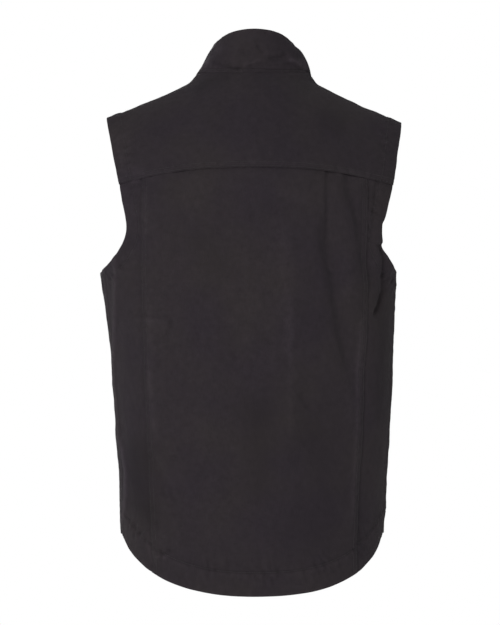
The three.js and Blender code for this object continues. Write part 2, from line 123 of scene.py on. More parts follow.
# Collar and neckline
NECK_HALF_WIDTH = 83
NECK_BACK_ROLL = 28.5 * DEGREE
NECK_FRONT_ROLL = -48 * DEGREE
COLLAR_RIM = {"left": 61.5, "right": 63.5, "back": 56, "front": -92}
COLLAR_RIM_HEIGHT = {
    "angle": [0, 30, 60, 90, 135, 180],
    "height": [72, 69, 61, 52, 24, 0],
}
COLLAR_BOW = {"left": 6, "right": 9.4}
COLLAR_FOOT = -0.03  # its lower edge, as a share of its height
NECK_RAISE = {"left": 10.5, "right": 11.5}  # how far the neck seam climbs at the sides of the neck
NECK_RAISE_POWER = 1.6
NECK_RAISE_ENDS = (85 * DEGREE, 130 * DEGREE)  # where it falls again towards the front
NECK_RAISE_WIDTH = {"left": 10.5, "right": 8.0}  # how far from the seam the cloth below it follows
FOOT_TUCK = 1.0  # how far that cloth lies inside the collar
NECK_POINTS = 181  # how finely the seam is followed

# Zip
FRONT_EDGE = 5.0
TOOTH_PITCH = 2.5
TAPE_HALF_WIDTH = 12.0
TAPE_WALL = 0.8
TAPE_DEPTH = 2.3
TAPE_STEP = 6  # the tape takes every sixth point of the zip's path
TAPE_COLUMNS = 13
TAPE_CENTRE = (0, 200, -300)
ZIP_LENGTH = 660.0
ZIP_POINTS = {"body": 200, "collar": 60}

# A tooth's outline, across and along the zip, and its layers: their height and size
TOOTH_OUTLINE = [
    (4.0, -0.6), (4.0, 0.6), (1.2, 0.5), (0.2, 0.85), (-0.8, 0.6), (-0.8, -0.6), (0.2, -0.85), (1.2, -0.5),
]
TOOTH_LAYERS = [(-TAPE_DEPTH, 1.0), (-0.7, 1.0), (-0.3, 0.8)]

# Slider and box. Columns: place along the zip, height over it, half width and half depth.
SLIDER_BODY = [
    (-7.0, 0.4, 3.0, 1.4), (-6.4, 0.4, 3.8, 2.2), (-3.0, 0.4, 4.0, 2.5), (1.0, 0.4, 4.4, 2.5),
    (4.5, 0.4, 5.6, 2.4), (6.4, 0.4, 5.8, 2.1), (7.0, 0.4, 5.0, 1.3),
]
SLIDER_TAB = [
    (-1.0, 4.3, 1.2, 0.5), (-1.6, 4.3, 2.2, 0.8), (-4.0, 4.2, 2.4, 0.8), (-8.0, 4.0, 2.9, 0.8),
    (-20.0, 3.6, 3.3, 0.8), (-24.5, 3.4, 3.2, 0.8), (-26.4, 3.4, 2.4, 0.7), (-27.0, 3.4, 1.2, 0.4),
]
ZIP_BOX = [(-4.5, -0.8, 2.8, 1.0), (-4.0, -0.8, 3.6, 1.6), (3.5, -0.8, 3.6, 1.6), (4.0, -0.8, 3.0, 1.1)]
ROUNDING = {"body": 3.0, "tab": 4.0, "box": 5.0}  # powers of their sections, squarer as they grow
RING_SIDES = {"slider": 20, "bridge": 10}
BRIDGE = {
    "points": 15, "bend": (-0.15, 1.15), "radius": 0.8,
    "base": 2.4, "rise": 2.3, "middle": 0.5, "half": 4.0,
}
SLIDER_SPOT = -8  # counted in half pitches down from the zip's top
BOX_SPOT = 3  # and up from its foot

# Folds. Columns: x and z of the points they run through, their width towards the middle, their width away
# from it, their depth, negative for a ridge, and how far they take to fade in at each end.
LEFT_SIDE_RIDGE = [
    (196, -246), (196, -322), (200, -413), (194, -500), (182, -560), (183, -606), (188, -636),
]
BACK_FOLDS = [
    # right pleat's drape
    ([(-103, -170), (-102, -235), (-116, -305), (-127, -370), (-141, -420), (-146, -470)], 10, 18, 7.5, 70),
    # right shoulder drag
    ([(-129, -118), (-134, -157), (-145, -192), (-154, -247), (-158, -290)], 8, 12, 5.5, 36),
    # right armhole facing
    ([(-174, -140), (-169, -192), (-165, -247), (-165, -310)], 4, 6, 2.6, 24),
    # right underarm
    ([(-168, -236), (-180, -238), (-184, -256), (-184, -300), (-178, -322), (-168, -340)], 3.5, 4, 6.0, 14),
    # left side crease and its hook
    ([(172, -335), (118, -336), (113, -348), (122, -368), (150, -378)], 3, 3.5, 2.6, 14),
    # waist sag
    ([(40, -362), (5, -388), (-26, -366)], 12, 12, 2.0, 16),
    # middle and left ridges
    ([(-48, -170), (-46, -350), (-44, -620)], 16, 18, -2.5, 80),
    ([(62, -400), (55, -650)], 18, 22, -2.0, 60),
    # right hollow beside the middle ridge
    ([(-62, -410), (-88, -480), (-96, -570)], 16, 22, 2.2, 50),
    # lower left creases
    ([(152, -520), (132, -556), (110, -596)], 7, 8, 2.8, 24),
    ([(140, -500), (118, -540)], 5, 6, 1.5, 18),
    # right seam hollow
    ([(-156, -500), (-153, -600), (-150, -700)], 8, 14, 3.5, 50),
    # left side ridge
    (LEFT_SIDE_RIDGE, 3.5, 4, -2.2, 12),
    # right underarm swell
    ([(-184, -240), (-190, -262), (-197, -278)], 9, 9, -3.6, 12),
    # waist creases
    ([(36, -384), (18, -394)], 3.5, 5, 2.2, 8),
    ([(-14, -364), (-30, -378)], 3.5, 4.5, 2.2, 8),
    # notch in the right hollow
    ([(-62, -440), (-70, -452), (-80, -470)], 4, 4, 2.4, 10),
    # lower left wrinkles
    ([(122, -528), (106, -524)], 3.5, 3.5, -1.2, 7),
    ([(118, -536), (104, -532)], 3, 3, 2.2, 6),
    ([(126, -572), (118, -590), (113, -602)], 3.5, 3.5, -1.3, 10),
    ([(131, -574), (123, -592)], 3, 3, 2.0, 8),
    ([(116, -610), (110, -624)], 3.5, 3.5, -1.1, 7),
    ([(141, -608), (131, -618)], 3.5, 3.5, -1.0, 7),
    ([(136, -622), (134, -640)], 2.5, 3, 2.0, 6),
    ([(172, -626), (168, -642)], 3, 3, 1.6, 6),
    ([(164, -638), (160, -656)], 3, 3, 1.7, 6),
    # left hem crumple
    ([(142, -668), (128, -668), (114, -662)], 3, 3, 2.2, 8),
    ([(150, -650), (144, -668), (141, -690)], 3, 3, 1.8, 8),
]
PLEATS = [
    # right and left, below the yoke seam
    ([(-102, -60), (-102, -180), (-104, -250)], 2.4, 8, 3.0, 50),
    ([(99, -60), (98, -200), (97, -275)], 2.2, 12, 1.3, 60),
]
FRONT_FOLDS = [
    # from the armholes to the waist
    ([(156, -225), (124, -330), (104, -440)], 14, 18, 4.0, 70),
    ([(-150, -235), (-114, -330), (-98, -420)], 13, 17, 3.6, 60),
    # ridges down to the hem
    ([(62, -400), (68, -520), (63, -650)], 18, 22, -3.2, 70),
    ([(-72, -430), (-65, -560), (-74, -650)], 16, 20, -2.8, 60),
    # hollows beside the zip
    ([(34, -170), (46, -300), (40, -400)], 16, 16, 2.4, 70),
    ([(-38, -190), (-50, -320), (-42, -430)], 15, 17, 2.2, 70),
    # below the arms
    ([(182, -300), (152, -352), (136, -374)], 8, 9, 2.8, 22),
    ([(-178, -305), (-152, -350), (-138, -366)], 8, 9, 2.6, 22),
]
COLLAR_FOLDS = [
    # left side, middle, then right side
    ([(66, 38), (58, 29), (50, 22)], 6, 6, -2.6, 9),
    ([(58, 25), (45, 18), (28, 14), (14, 15)], 3.5, 3.5, 3.4, 9),
    ([(20, 20), (0, 25), (-16, 31)], 4, 4, -2.0, 9),
    ([(24, 44), (13, 38), (2, 36)], 3.5, 3.5, 3.0, 7),
    ([(-3, 56), (-9, 45), (-16, 35)], 3.5, 3.5, 3.0, 7),
    ([(-18, 30), (-34, 31), (-52, 37)], 3.5, 4, 3.6, 9),
    ([(-42, 32), (-56, 30), (-70, 24)], 4.5, 4.5, -1.8, 8),
    ([(-44, 24), (-54, 23), (-66, 18)], 3, 3, 1.8, 8),
    ([(-72, 18), (-82, 17)], 3, 3, 2.0, 5),
]

# How the collar leans at the sides of the neck
RIM_ROLL = {"left": 1.5, "right": 3.4}  # how far the rim leans in
FOOT_FLARE = {"left": 4.0, "right": 0.3}  # how far the cloth above the foot leans out
SIDE_BULGE = {"left": 0.0, "right": 2.4}  # how far the cloth below the rim swells out
# Where each sets in or ends: distances from the middle, and shares of the collar's height
COLLAR_RANGE = {
    "roll_across": (25, 60), "roll_up": (0.72, 1.0),
    "flare_across": (45, 75), "flare_in": (-0.06, 0.06), "flare_out": (0.06, 0.45),
    "bulge_across": (35, 60), "bulge_in": (0.25, 0.65), "bulge_out": (0.8, 1.0),
}
BACK_HALF = (-10, 10)  # depths between which the back's folds take over from the front's

# Lines of wear and painted light. Columns as for the folds, with how much lighter the cloth is, negative
# for darker: wear and painted highlights where lighter, painted shade where darker.
BACK_WEAR_AND_PAINTED_LIGHT = [
    # left side ridge, a painted highlight and wear
    (LEFT_SIDE_RIDGE, 2.2, 2.2, 1.6, 12),
    ([(190, -510), (182, -560), (183, -606), (188, -636)], 2.2, 2.2, 0.8, 16),
    # middle, darker
    ([(-10, -430), (-18, -520)], 18, 18, -0.25, 50),
    # right princess seam: painted shade at its top and foot, a painted highlight and wear along its ridge
    ([(-153, -140), (-154, -320)], 5, 5, -0.4, 20),
    ([(-150, -330), (-149, -392), (-144, -494), (-136, -636)], 3, 3, 1.1, 30),
    ([(-149, -590), (-146, -690)], 5, 7, -0.5, 25),
    # left armhole, painted light along its edge
    ([(196, -62), (190, -100), (184, -150), (178, -220)], 18, 8, 0.45, 24),
    # right shoulder, painted shade
    ([(-85, -45), (-140, -72)], 20, 20, -0.5, 20),
    # middle ridge, a painted highlight and wear
    ([(-40, -180), (-44, -250), (-48, -420)], 8, 8, 0.4, 50),
    # ends of the yoke seam
    ([(178, -136), (150, -130)], 6, 6, 0.8, 8),
    ([(176, -149), (150, -140), (108, -133)], 4, 4, 0.6, 12),
    ([(-176, -149), (-150, -140), (-112, -133)], 4, 4, 0.6, 12),
    # left princess ridge, a painted highlight and wear
    ([(148, -310), (147, -420), (140, -520)], 5, 3, 0.7, 30),
    # other places: painted shade where darker, painted highlights where lighter
    ([(172, -490), (162, -640)], 26, 14, -0.9, 40),
    ([(150, -590), (140, -650)], 16, 14, -0.5, 24),
    ([(8, -430), (-8, -520), (-4, -610)], 26, 20, -0.45, 40),
    ([(80, -195), (70, -240), (30, -300)], 20, 20, -0.4, 40),
    ([(-178, -285), (-180, -380), (-176, -500)], 6, 12, -0.6, 30),
    ([(-126, -225), (-128, -320)], 9, 9, 0.3, 30),
    ([(-136, -370), (-135, -440), (-134, -510)], 8, 8, 0.4, 30),
    ([(-48, -300), (-50, -420), (-48, -530)], 5, 6, 0.45, 60),
    # painted shadow below the collar
    ([(92, -18), (60, 2), (28, 8)], 8, 8, -0.6, 14),
    ([(-56, 2), (-84, -14)], 8, 8, -0.4, 10),
    ([(-30, -620), (-80, -640), (-130, -630)], 30, 30, -0.3, 30),
    ([(153, -150), (152, -250)], 5, 5, 0.35, 20),
    ([(-92, -440), (-104, -640)], 34, 34, -0.25, 60),
    ([(-10, -410), (-60, -470), (-76, -560)], 40, 40, -0.25, 60),
    # left hem crumple, painted highlights and painted shade
    ([(142, -673), (128, -674), (114, -671)], 2, 2, 1.0, 8),
    ([(124, -663), (112, -666)], 3, 3, -0.8, 6),
    ([(153, -652), (147, -668), (144, -690)], 2, 2, 0.9, 8),
    # left side crease and its hook, painted highlights
    ([(172, -341), (122, -342)], 2.5, 2.5, 0.5, 14),
    ([(124, -374), (150, -384)], 2.5, 2.5, 0.6, 10),
]
COLLAR_WEAR_AND_PAINTED_LIGHT = [
    # painted highlights and wear on the collar's ridges: left side, middle, then right side
    ([(60, 52), (44, 42)], 7, 7, 0.8, 8),
    ([(64, 44), (67, 32), (74, 16)], 7, 9, 1.5, 9),
    ([(18, 20), (0, 25), (-16, 31)], 2.4, 2.4, 0.7, 7),
    ([(-46, 31), (-58, 28), (-71, 24)], 3, 3, 2.8, 6),
    ([(-66, 38), (-73, 26), (-80, 12)], 8, 9, 2.2, 9),
]

# The solid that each cloth stands for
REPLACED = {
    "back_yoke_cloth": "back_yoke",
    "back_panel_cloth": "back_panel",
    "back_side_cloth_left": "back_side_panel_left",
    "back_side_cloth_right": "back_side_panel_right",
    "front_cloth_left": "front_panel_left",
    "front_cloth_right": "front_panel_right",
    "collar_cloth": "stand_collar",
}

# Waves of the cloth. Columns: height, length, seed, and how many are laid over one another.
CLOTH_WAVES = [(0.6, 60, 61, 8), (0.3, 24, 62, 8), (0.12, 11, 63, 14)]
COLLAR_WAVES = [(0.5, 40, 75, 8)]
WAVE_LENGTHS = (0.7, 1.5)  # the shortest and longest, as shares of that length

# Puckers along a seam, where slant is how far they lean and level how even they are
PUCKERS = {"count": 9, "lengths": (0.6, 1.8), "slant": 0.4, "swell": 6.3, "limit": 3, "level": 0.65}

# Seam finishes. Columns: how far the doubled cloth lifts, its width and slope, the stitch rows' distances
# from the edge, how deep they pull, the puckers' height, length and fade, and bands of wear and painted
# light:
# their distance from the edge, their width, and how much lighter the cloth is there from wear and painted
# highlights, negative for painted shade where it stays dark.
FINISH_COLUMNS = ("lift", "band", "slope", "rows", "pull", "pucker", "wave", "fade", "worn")
FINISHES = {
    "lap": (0.4, 9.5, 3.0, (2.0, 8.0), 0.45, 0.75, 9.0, 8.0, ((0.0, 1.6, -0.3), (7.0, 3.4, 0.55))),
    "princess": (0.25, 9.5, 4.0, (2.0, 8.0), 0.35, 0.6, 10.0, 8.0, ((7.0, 3.2, 0.4),)),
    "side": (0.8, 9.5, 4.0, (2.0, 8.0), 0.5, 0.4, 12.0, 8.0, ((0.0, 1.5, -0.3), (5.0, 3.0, 1.2))),
    "under": (-1.1, 11.5, 9.0, (), 0, 0.35, 10.0, 9.0, ((11.5, 2.6, -0.25),)),
    "under_princess": (-1.0, 9.6, 10.0, (), 0, 0.35, 10.0, 9.0, ((10.5, 3.5, -0.3),)),
    "armhole": (0.4, 21.0, 3.0, (21.0,), 0.6, 2.0, 15.0, 11.0, ((0.0, 2.5, 0.6), (23.0, 3.0, 0.35))),
    "hem": (0.4, 33.0, 3.0, (33.0,), 0.9, 1.8, 14.0, 17.0,
            ((0.0, 2.5, 0.6), (28.5, 3.0, 0.45), (33.5, 2.0, -0.25))),
    "front": (0.4, 9.0, 2.5, (7.0,), 0.4, 0.5, 10.0, 7.0, ((0.0, 2.0, 0.5),)),
    "neck": (0.3, 4.0, 2.0, (4.2,), 0.8, 0.4, 9.0, 6.0,
             ((0.0, 1.2, -0.4), (2.0, 1.4, 0.8), (8.0, 3.0, 0.4))),
    "rim": (0.0, 2.0, 2.0, (), 0, 0.35, 12.0, 6.0, ((0.0, 2.5, 0.6),)),
    "tuck": (-0.6, 3.0, 5.0, (), 0, 0.3, 9.0, 8.0, ((10.0, 6.0, 0.2),)),
}
BAND_EDGE = 0.5  # how far inside its band the doubled cloth starts to fall
PULL_WIDTH = 1.2  # half the width of the groove along a row of stitches
STITCH_SHADE = 0.4  # how much painted shade darkens the cloth along it
SHADE_WIDTH = 1.3
PATCHY_WEAR_AND_HIGHLIGHT = {"base": 0.6, "spread": 0.8, "limits": (-0.5, 1)}  # how the wear and painted highlights follow the puckers

# Stitches
STITCH_PITCH = 3.2
STITCH_LENGTH = 2.5
STITCH_RADIUS = 0.3
STITCH_RINGS = 4
STITCH_SIDES = 5
STITCH_ARCH = 1.6  # how high a stitch arches and how far its ends sink, as shares of its radius
STITCH_SINK = 0.5
STITCH_TAPER = 0.08
STITCH_STEP = 0.1  # half the stretch over which its direction is measured

# Canvas. Noises: scale, detail and roughness. Tones: how far each varies the colour, and its base.
THREAD_SIZE = 0.9
YARN_SCALE = (1400, 90, 1)
COOL_DYE = (0.0207, 0.0166, 0.0207)
WARM_DYE = (0.0219, 0.0181, 0.0196)
DYE_PATCH = (0.35, 0.65)
CANVAS_NOISE = {
    "slub": (1.0, 2.0, 0.5), "mottle": (120, 5.0, 0.65), "fade": (9, 3.0, 0.5), "crumple": (330, 3.0, 0.6),
}
CANVAS_TONE = {
    "mottle": (0.6, 0.7), "fade": (0.3, 0.85), "slub": (0.3, 0.85),
    # the last tone carries the wear with painted highlights and painted shade
    "weave": (0.08, 1.0), "wear_and_light_tone": (0.55, 1.0),
}
CANVAS_RELIEF = {"weave": 0.25, "slub": 0.5}
CANVAS_BUMP = {"Strength": 0.6, "Distance": 0.0006}
CANVAS_SHADER = {
    "Roughness": 0.93, "Specular IOR Level": 0.1,
    "Sheen Weight": 0.045, "Sheen Roughness": 0.5, "Sheen Tint": (0.5, 0.47, 0.5, 1),
}

# Plain finishes. Columns: colour, roughness, metallic, and the scale and depth of the grain, in metres.
PLAIN_FINISHES = {
    "black_thread": ((0.022, 0.019, 0.021), 0.7, 0.0, 2500, 0.0001),
    "moulded_teeth": ((0.016, 0.016, 0.017), 0.42, 0.0, 900, 0.00005),
    "painted_metal": ((0.02, 0.02, 0.021), 0.4, 0.5, 700, 0.00005),
}
GRAIN_DETAIL = 3.0
GRAIN_TONE = (0.6, 0.7)
GRAIN_STRENGTH = 0.4

# Camera, floor and room
CAMERA_PLACE = (5.8, 3200.0, -331.3)
PHOTO_HEIGHT = 906.0  # what the frame's height takes in at the shoulders' depth
SENSOR = 36.0
FLOOR_HEIGHT = -1450.0
FLOOR_RADIUS = 4400.0
FLOOR_SIDES = 96
FLOOR_GLOW = (0.3, 0.5)  # painted glow, below the vest and at the edge
FLOOR_SHADER = {"Base Color": (0.9, 0.9, 0.9, 1), "Roughness": 0.9, "Emission Color": (1, 1, 1, 1)}
ROOM_LIGHT = 0.42

# Lights, in metres. Columns: name, place, target, size and power.
LIGHTS = [
    ("key", (1.35, 2.95, 0.85), (0, 0, -0.25), 1.4, 80),
    ("right_fill", (-2.9, 0.4, 0.1), (0, 0, -0.4), 1.4, 7),
    ("front_fill", (0.7, -3.0, 0.1), (0, 0, -0.35), 1.6, 60),
]


# Curves and forms


def along_curve(table, key, column, value):
    """Reads a column of a table at values of its key column, on a smooth curve that ends level."""
    keys = np.asarray(table[key], float)
    values = np.asarray(table[column], float)
    slopes = np.zeros_like(values)
    slopes[1:-1] = (values[2:] - values[:-2]) / (keys[2:] - keys[:-2])
    value = np.asarray(value, float)
    low = np.clip(np.searchsorted(keys, value, side="right") - 1, 0, len(keys) - 2)
    span = keys[low + 1] - keys[low]
    t = np.clip((value - keys[low]) / span, 0, 1)
    level = values[low] + (values[low + 1] - values[low]) * t * t * (3 - 2 * t)
    leaving = slopes[low] * span * t * (1 - t) ** 2
    arriving = slopes[low + 1] * span * t * t * (t - 1)
    return level + leaving + arriving


def mix(a, b, t):
    return a + (b - a) * t


def smooth_step(low, high, value):
    t = np.clip((value - low) / (high - low), 0, 1)
    return t * t * (3 - 2 * t)


def signed_power(value, power):
    return np.sign(value) * np.abs(value) ** power


def settle(following, start):
    """The value that a function gives back unchanged, reached by applying it again and again."""
    value = start
    for _ in range(SETTLE_ROUNDS):
        value = following(value)
    return value


def ridge_height(x):
    return along_curve(SHOULDER_RIDGE, "across", "height", np.abs(x)) + SHOULDER_TILT * x


def pick(pair, x):
    """The left or right value of a pair, by the side of the middle that x is on."""
    return np.where(x < 0, pair["right"], pair["left"])


def by_side(table, side, height):
    """Reads the left or right column of a table at some heights."""
    left = along_curve(table, "height", "left", height)
    right = along_curve(table, "height", "right", height)
    return np.where(np.asarray(side) > 0, left, right)


def half_width(side, height):
    return by_side(BODY, side, height)


def depth_at(behind, height):
    back = along_curve(BODY, "height", "back", height)
    return np.where(behind, back, along_curve(BODY, "height", "front", height))


def roll_shape(behind):
    """The drop and the power of the roll over the shoulders, at the back or the front."""
    drop = np.where(behind, ROLL_DROP["back"], ROLL_DROP["front"])
    return drop, np.where(behind, ROLL_POWER["back"], ROLL_POWER["front"])


def angle_at(side, across, height):
    """The angle on a section, from the middle of the back, of a point that far across its back half."""
    return np.arcsin(np.minimum(1, (across / half_width(side, height)) ** (SECTION_POWER / 2)))


def body_form(angle, height):
    """The smooth body at an angle from the middle of the back, positive to the left, and a height."""
    height = height + np.zeros_like(angle)
    x = half_width(np.sin(angle), height) * signed_power(np.sin(angle), 2 / SECTION_POWER)
    facing = signed_power(np.cos(angle), 2 / SECTION_POWER)
    behind = facing > 0
    drop, power = roll_shape(behind)
    left = 1 - np.clip((ridge_height(x) - height) / drop, 0, 1)
    share = (1 - left ** power) ** (1 / power)
    y = mix(RIDGE_DEPTH, depth_at(behind, height) * facing, share)
    return np.stack([x, y, height], -1)


def shoulder_form(x, roll):
    """The same body over the shoulders, by x and the angle of the roll, positive to the back."""
    behind = roll > 0
    drop, power = roll_shape(behind)
    height = ridge_height(x) - drop * (1 - np.cos(roll) ** (2 / power))
    outwards = np.minimum(1, np.abs(x) / half_width(x, height))
    facing = np.where(behind, 1, -1) * (1 - outwards ** SECTION_POWER) ** (1 / SECTION_POWER)
    share = np.abs(np.sin(roll)) ** (2 / power)
    y = mix(RIDGE_DEPTH, depth_at(behind, height) * facing, share)
    return np.stack([x + np.zeros_like(y), y, height], -1)


def to_roll_share(side, spots):
    """Angles and heights of the front, given by angles and shares of the roll over the shoulder."""
    angle, height = spots[..., 0], spots[..., 1]
    drop = (ridge_height(body_form(side * angle, height)[..., 0]) - height) / ROLL_DROP["front"]
    rolled = np.arccos(np.clip(1 - drop, 0, 1) ** (ROLL_POWER["front"] / 2)) / QUARTER_TURN
    return np.stack([angle, np.where(drop < 1, rolled, drop)], -1)


def from_roll_share(side, spots):
    angle, share = spots[..., 0], spots[..., 1]
    rolled = 1 - np.cos(np.clip(share, 0, 1) * QUARTER_TURN) ** (2 / ROLL_POWER["front"])
    eased = np.where(share < 1, rolled, share)

    def below(height):
        return ridge_height(body_form(side * angle, height)[..., 0]) - ROLL_DROP["front"] * eased

    return np.stack([angle, settle(below, np.full_like(angle, ARMHOLE_NARROWEST))], -1)


def princess_across(side, height):
    return by_side(PRINCESS_SEAM, side, height)


def tail_height(side, angle):
    seam = np.where(np.asarray(side) > 0, SIDE_SEAM[1], SIDE_SEAM[-1])
    power = np.where(np.asarray(side) > 0, TAIL_POWER[1], TAIL_POWER[-1])
    return mix(HEM["back"], HEM["side"], (angle / seam) ** power)


def yoke_seam_height(x):
    return YOKE_SEAM["middle"] - YOKE_SEAM["fall"] * (np.abs(x) / YOKE_SEAM["across"]) ** YOKE_SEAM["power"]


def yoke_roll(x, height):
    left = 1 - (ridge_height(x) - height) / ROLL_DROP["back"]
    return np.arccos(left ** (ROLL_POWER["back"] / 2))


def armhole_across(side, facing, height):
    """How far out the armhole's edge is at a height above its narrowest point."""
    full_rise = ridge_height(side * SHOULDER_TIP) - ARMHOLE_NARROWEST
    share = np.clip((height - ARMHOLE_NARROWEST) / full_rise, 0, 1) ** ARMHOLE_POWER[side, facing]
    return mix(ARMHOLE_ACROSS[side, facing], SHOULDER_TIP, share)


def armhole_over_shoulder(side, roll):
    def out(across):
        height = shoulder_form(side * across, roll)[..., 2]
        behind = armhole_across(side, "back", height)
        return np.where(roll > 0, behind, armhole_across(side, "front", height))

    return settle(out, np.full_like(roll, SHOULDER_TIP))


def armhole_inset(side, facing):
    return QUARTER_TURN - angle_at(side, ARMHOLE_ACROSS[side, facing], ARMHOLE_NARROWEST)


def armhole_round(side, turn):
    """The armhole's lower half, from its narrowest point behind (-1) by its bottom (0) to the front (1)."""
    inset = np.where(turn < 0, armhole_inset(side, "back"), armhole_inset(side, "front"))
    angle = QUARTER_TURN + inset * np.sin(turn * QUARTER_TURN)
    height = mix(ARMHOLE_NARROWEST, ARMHOLE_BOTTOM, np.cos(turn * QUARTER_TURN))
    return np.stack([angle, height], -1)


def underarm_share(side, seam_angle):
    return math.asin((QUARTER_TURN - seam_angle) / float(armhole_inset(side, "back"))) / QUARTER_TURN


def ring_across(angle, half):
    return mix(np.where(angle > QUARTER_TURN, FRONT_EDGE, 0), half, np.sin(angle))


def neckline(angle, tuck=0.0):
    """The neckline from the middle of the back (0) to the front edge, as x and roll, drawn in by a tuck."""
    reach = np.cos(angle)
    end = np.where(reach > 0, NECK_BACK_ROLL, NECK_FRONT_ROLL) * (1 - tuck / NECK_HALF_WIDTH)
    return ring_across(angle, NECK_HALF_WIDTH - tuck), mix(SHOULDER_SEAM, end, np.abs(reach))


def outward(angle):
    """The level way out from the neck at an angle round it."""
    return np.stack([np.sin(angle), np.cos(angle), np.zeros_like(angle)], -1)


def collar_form(angle, rise):
    """The collar, by the neckline's angle, positive to the left, and a share of the way up to its rim."""
    side = np.where(angle < 0, -1, 1)
    turn = np.abs(angle)
    foot_x, foot_roll = neckline(turn)
    foot = shoulder_form(side * foot_x, foot_roll)
    depth = mix(COLLAR_RIM["front"], COLLAR_RIM["back"], (1 + np.cos(angle)) / 2)
    height = along_curve(COLLAR_RIM_HEIGHT, "angle", "height", turn / DEGREE)
    rim = np.stack([side * ring_across(turn, pick(COLLAR_RIM, angle)), depth, height], -1)
    bow = mix(COLLAR_BOW["left"], pick(COLLAR_BOW, angle), np.abs(np.sin(angle)))
    bulge = bow * np.sin(np.pi * rise) * (1 - rise)
    return mix(foot, rim, rise[..., None]) + outward(angle) * bulge[..., None]


def collar_range(name, value):
    return smooth_step(*COLLAR_RANGE[name], value)


def raise_share(angle):
    """How far the neck seam climbs, as a share of the collar's height there."""
    upright = collar_form(angle, np.ones_like(angle)) - collar_form(angle, np.zeros_like(angle))
    climb = np.abs(np.sin(angle)) ** NECK_RAISE_POWER * (1 - smooth_step(*NECK_RAISE_ENDS, np.abs(angle)))
    return pick(NECK_RAISE, angle) * climb / np.linalg.norm(upright, axis=-1)


def foot_flare(x, rise):
    """How far the collar leans out above its foot at the sides of the neck."""
    flare = pick(FOOT_FLARE, x) * collar_range("flare_across", np.abs(x))
    return flare * collar_range("flare_in", rise) * (1 - collar_range("flare_out", rise))


def raise_neck(points):
    """Draws the cloth round the neckline up under the collar's foot."""
    angles = np.linspace(-HALF_TURN, HALF_TURN, NECK_POINTS)
    foot = collar_form(angles, np.zeros_like(angles))
    share = raise_share(angles)
    lean = (foot_flare(foot[:, 0], share) - FOOT_TUCK) * np.abs(np.sin(angles))
    drawn = collar_form(angles, share) - foot + outward(angles) * lean[:, None]
    away, along, _ = near_line(points, foot)
    follow = np.exp(-(away / pick(NECK_RAISE_WIDTH, points[..., 0])) ** 2)
    return points + follow[..., None] * read_along(drawn, lengths_along(foot, 0), along)


# Grids of the panels, as points by column and row


def stops(length):
    """Shares from 0 to 1 for a stretch of that length, closer together near its two ends."""
    fine = np.linspace(0, FINE_BAND, int(round(FINE_BAND / FINE_GRID)) + 1)
    between = length - 2 * FINE_BAND
    middle = FINE_BAND + np.linspace(0, between, int(round(between / GRID)) + 1)[1:-1]
    return np.concatenate([fine, middle, length - fine[::-1]]) / length


def fill(bottom, top, start, end, u, v):
    """Fills a panel's four edges: bottom and top run with u, start and end run with v."""
    u = u[:, None, None]
    v = v[None, :, None]
    upwards = mix(bottom[:, None], top[:, None], v)
    sideways = mix(start[None], end[None], u)
    low = mix(bottom[0], bottom[-1], u)
    high = mix(top[0], top[-1], u)
    return upwards + sideways - mix(low, high, v)


def climb_below(v):
    return np.clip(v / UNDERARM_ROW, 0, 1)


def climb_above(v):
    return np.clip((v - UNDERARM_ROW) / (1 - UNDERARM_ROW), 0, 1)


def back_line(side, share, v, above):
    """Angles and heights up the back on a line that keeps its share of the way to the princess seam."""
    def angle(height):
        return angle_at(side, share * princess_across(side, height), height)

    hem = settle(lambda height: tail_height(side, angle(height)), np.full_like(share, HEM["back"]))
    first = np.full_like(share, FIRST_SEAM_HEIGHT)
    seam = settle(lambda height: yoke_seam_height(share * princess_across(side, height)), first)
    height = mix(hem, seam + above, v)
    return np.stack([side * angle(height), height], -1)


def back_panel_grid():
    reach = 1 + PRINCESS_LAP / PRINCESS_ACROSS
    u, v = (stops(span) for span in PANEL_SPAN["back"])
    shares = mix(reach, -reach, u)[:, None]
    spots = back_line(np.where(shares < 0, -1, 1), np.abs(shares), v[None], UNDERLAP)
    return body_form(spots[..., 0], spots[..., 1])


def back_side_grid(side):
    u, v = (stops(span) for span in PANEL_SPAN["side"])
    under = 1 - UNDERLAP / PRINCESS_ACROSS
    seam_angle = SIDE_SEAM[side] + LAP / GIRTH_RADIUS

    def seam_height(across):
        return yoke_seam_height(across) + UNDERLAP

    top_across = settle(lambda across: armhole_across(side, "back", seam_height(across)), FIRST_ACROSS)
    rise = climb_above(v)
    turn = mix(-underarm_share(side, seam_angle), -1, np.clip(rise / BACK_ROUND, 0, 1))
    outer = armhole_round(side, turn)
    lower = rise <= 0
    outer[lower, 0] = seam_angle
    outer[lower, 1] = mix(tail_height(side, seam_angle), outer[lower, 1], climb_below(v[lower]))
    upper = rise > BACK_ROUND
    climbed = (rise[upper] - BACK_ROUND) / (1 - BACK_ROUND)
    outer[upper, 1] = mix(ARMHOLE_NARROWEST, seam_height(top_across), climbed)
    outer[upper, 0] = angle_at(side, armhole_across(side, "back", outer[upper, 1]), outer[upper, 1])
    princess = back_line(side, np.array([under]), v, UNDERLAP) * [side, 1]
    hem_angle = mix(seam_angle, princess[0, 0], u)
    bottom = np.stack([hem_angle, tail_height(side, hem_angle)], -1)
    across = mix(top_across, under * princess_across(side, princess[-1, 1]), u)
    top = np.stack([angle_at(side, across, seam_height(across)), seam_height(across)], -1)
    spots = fill(bottom, top, outer, princess, u, v)
    return body_form(side * spots[..., 0], spots[..., 1])


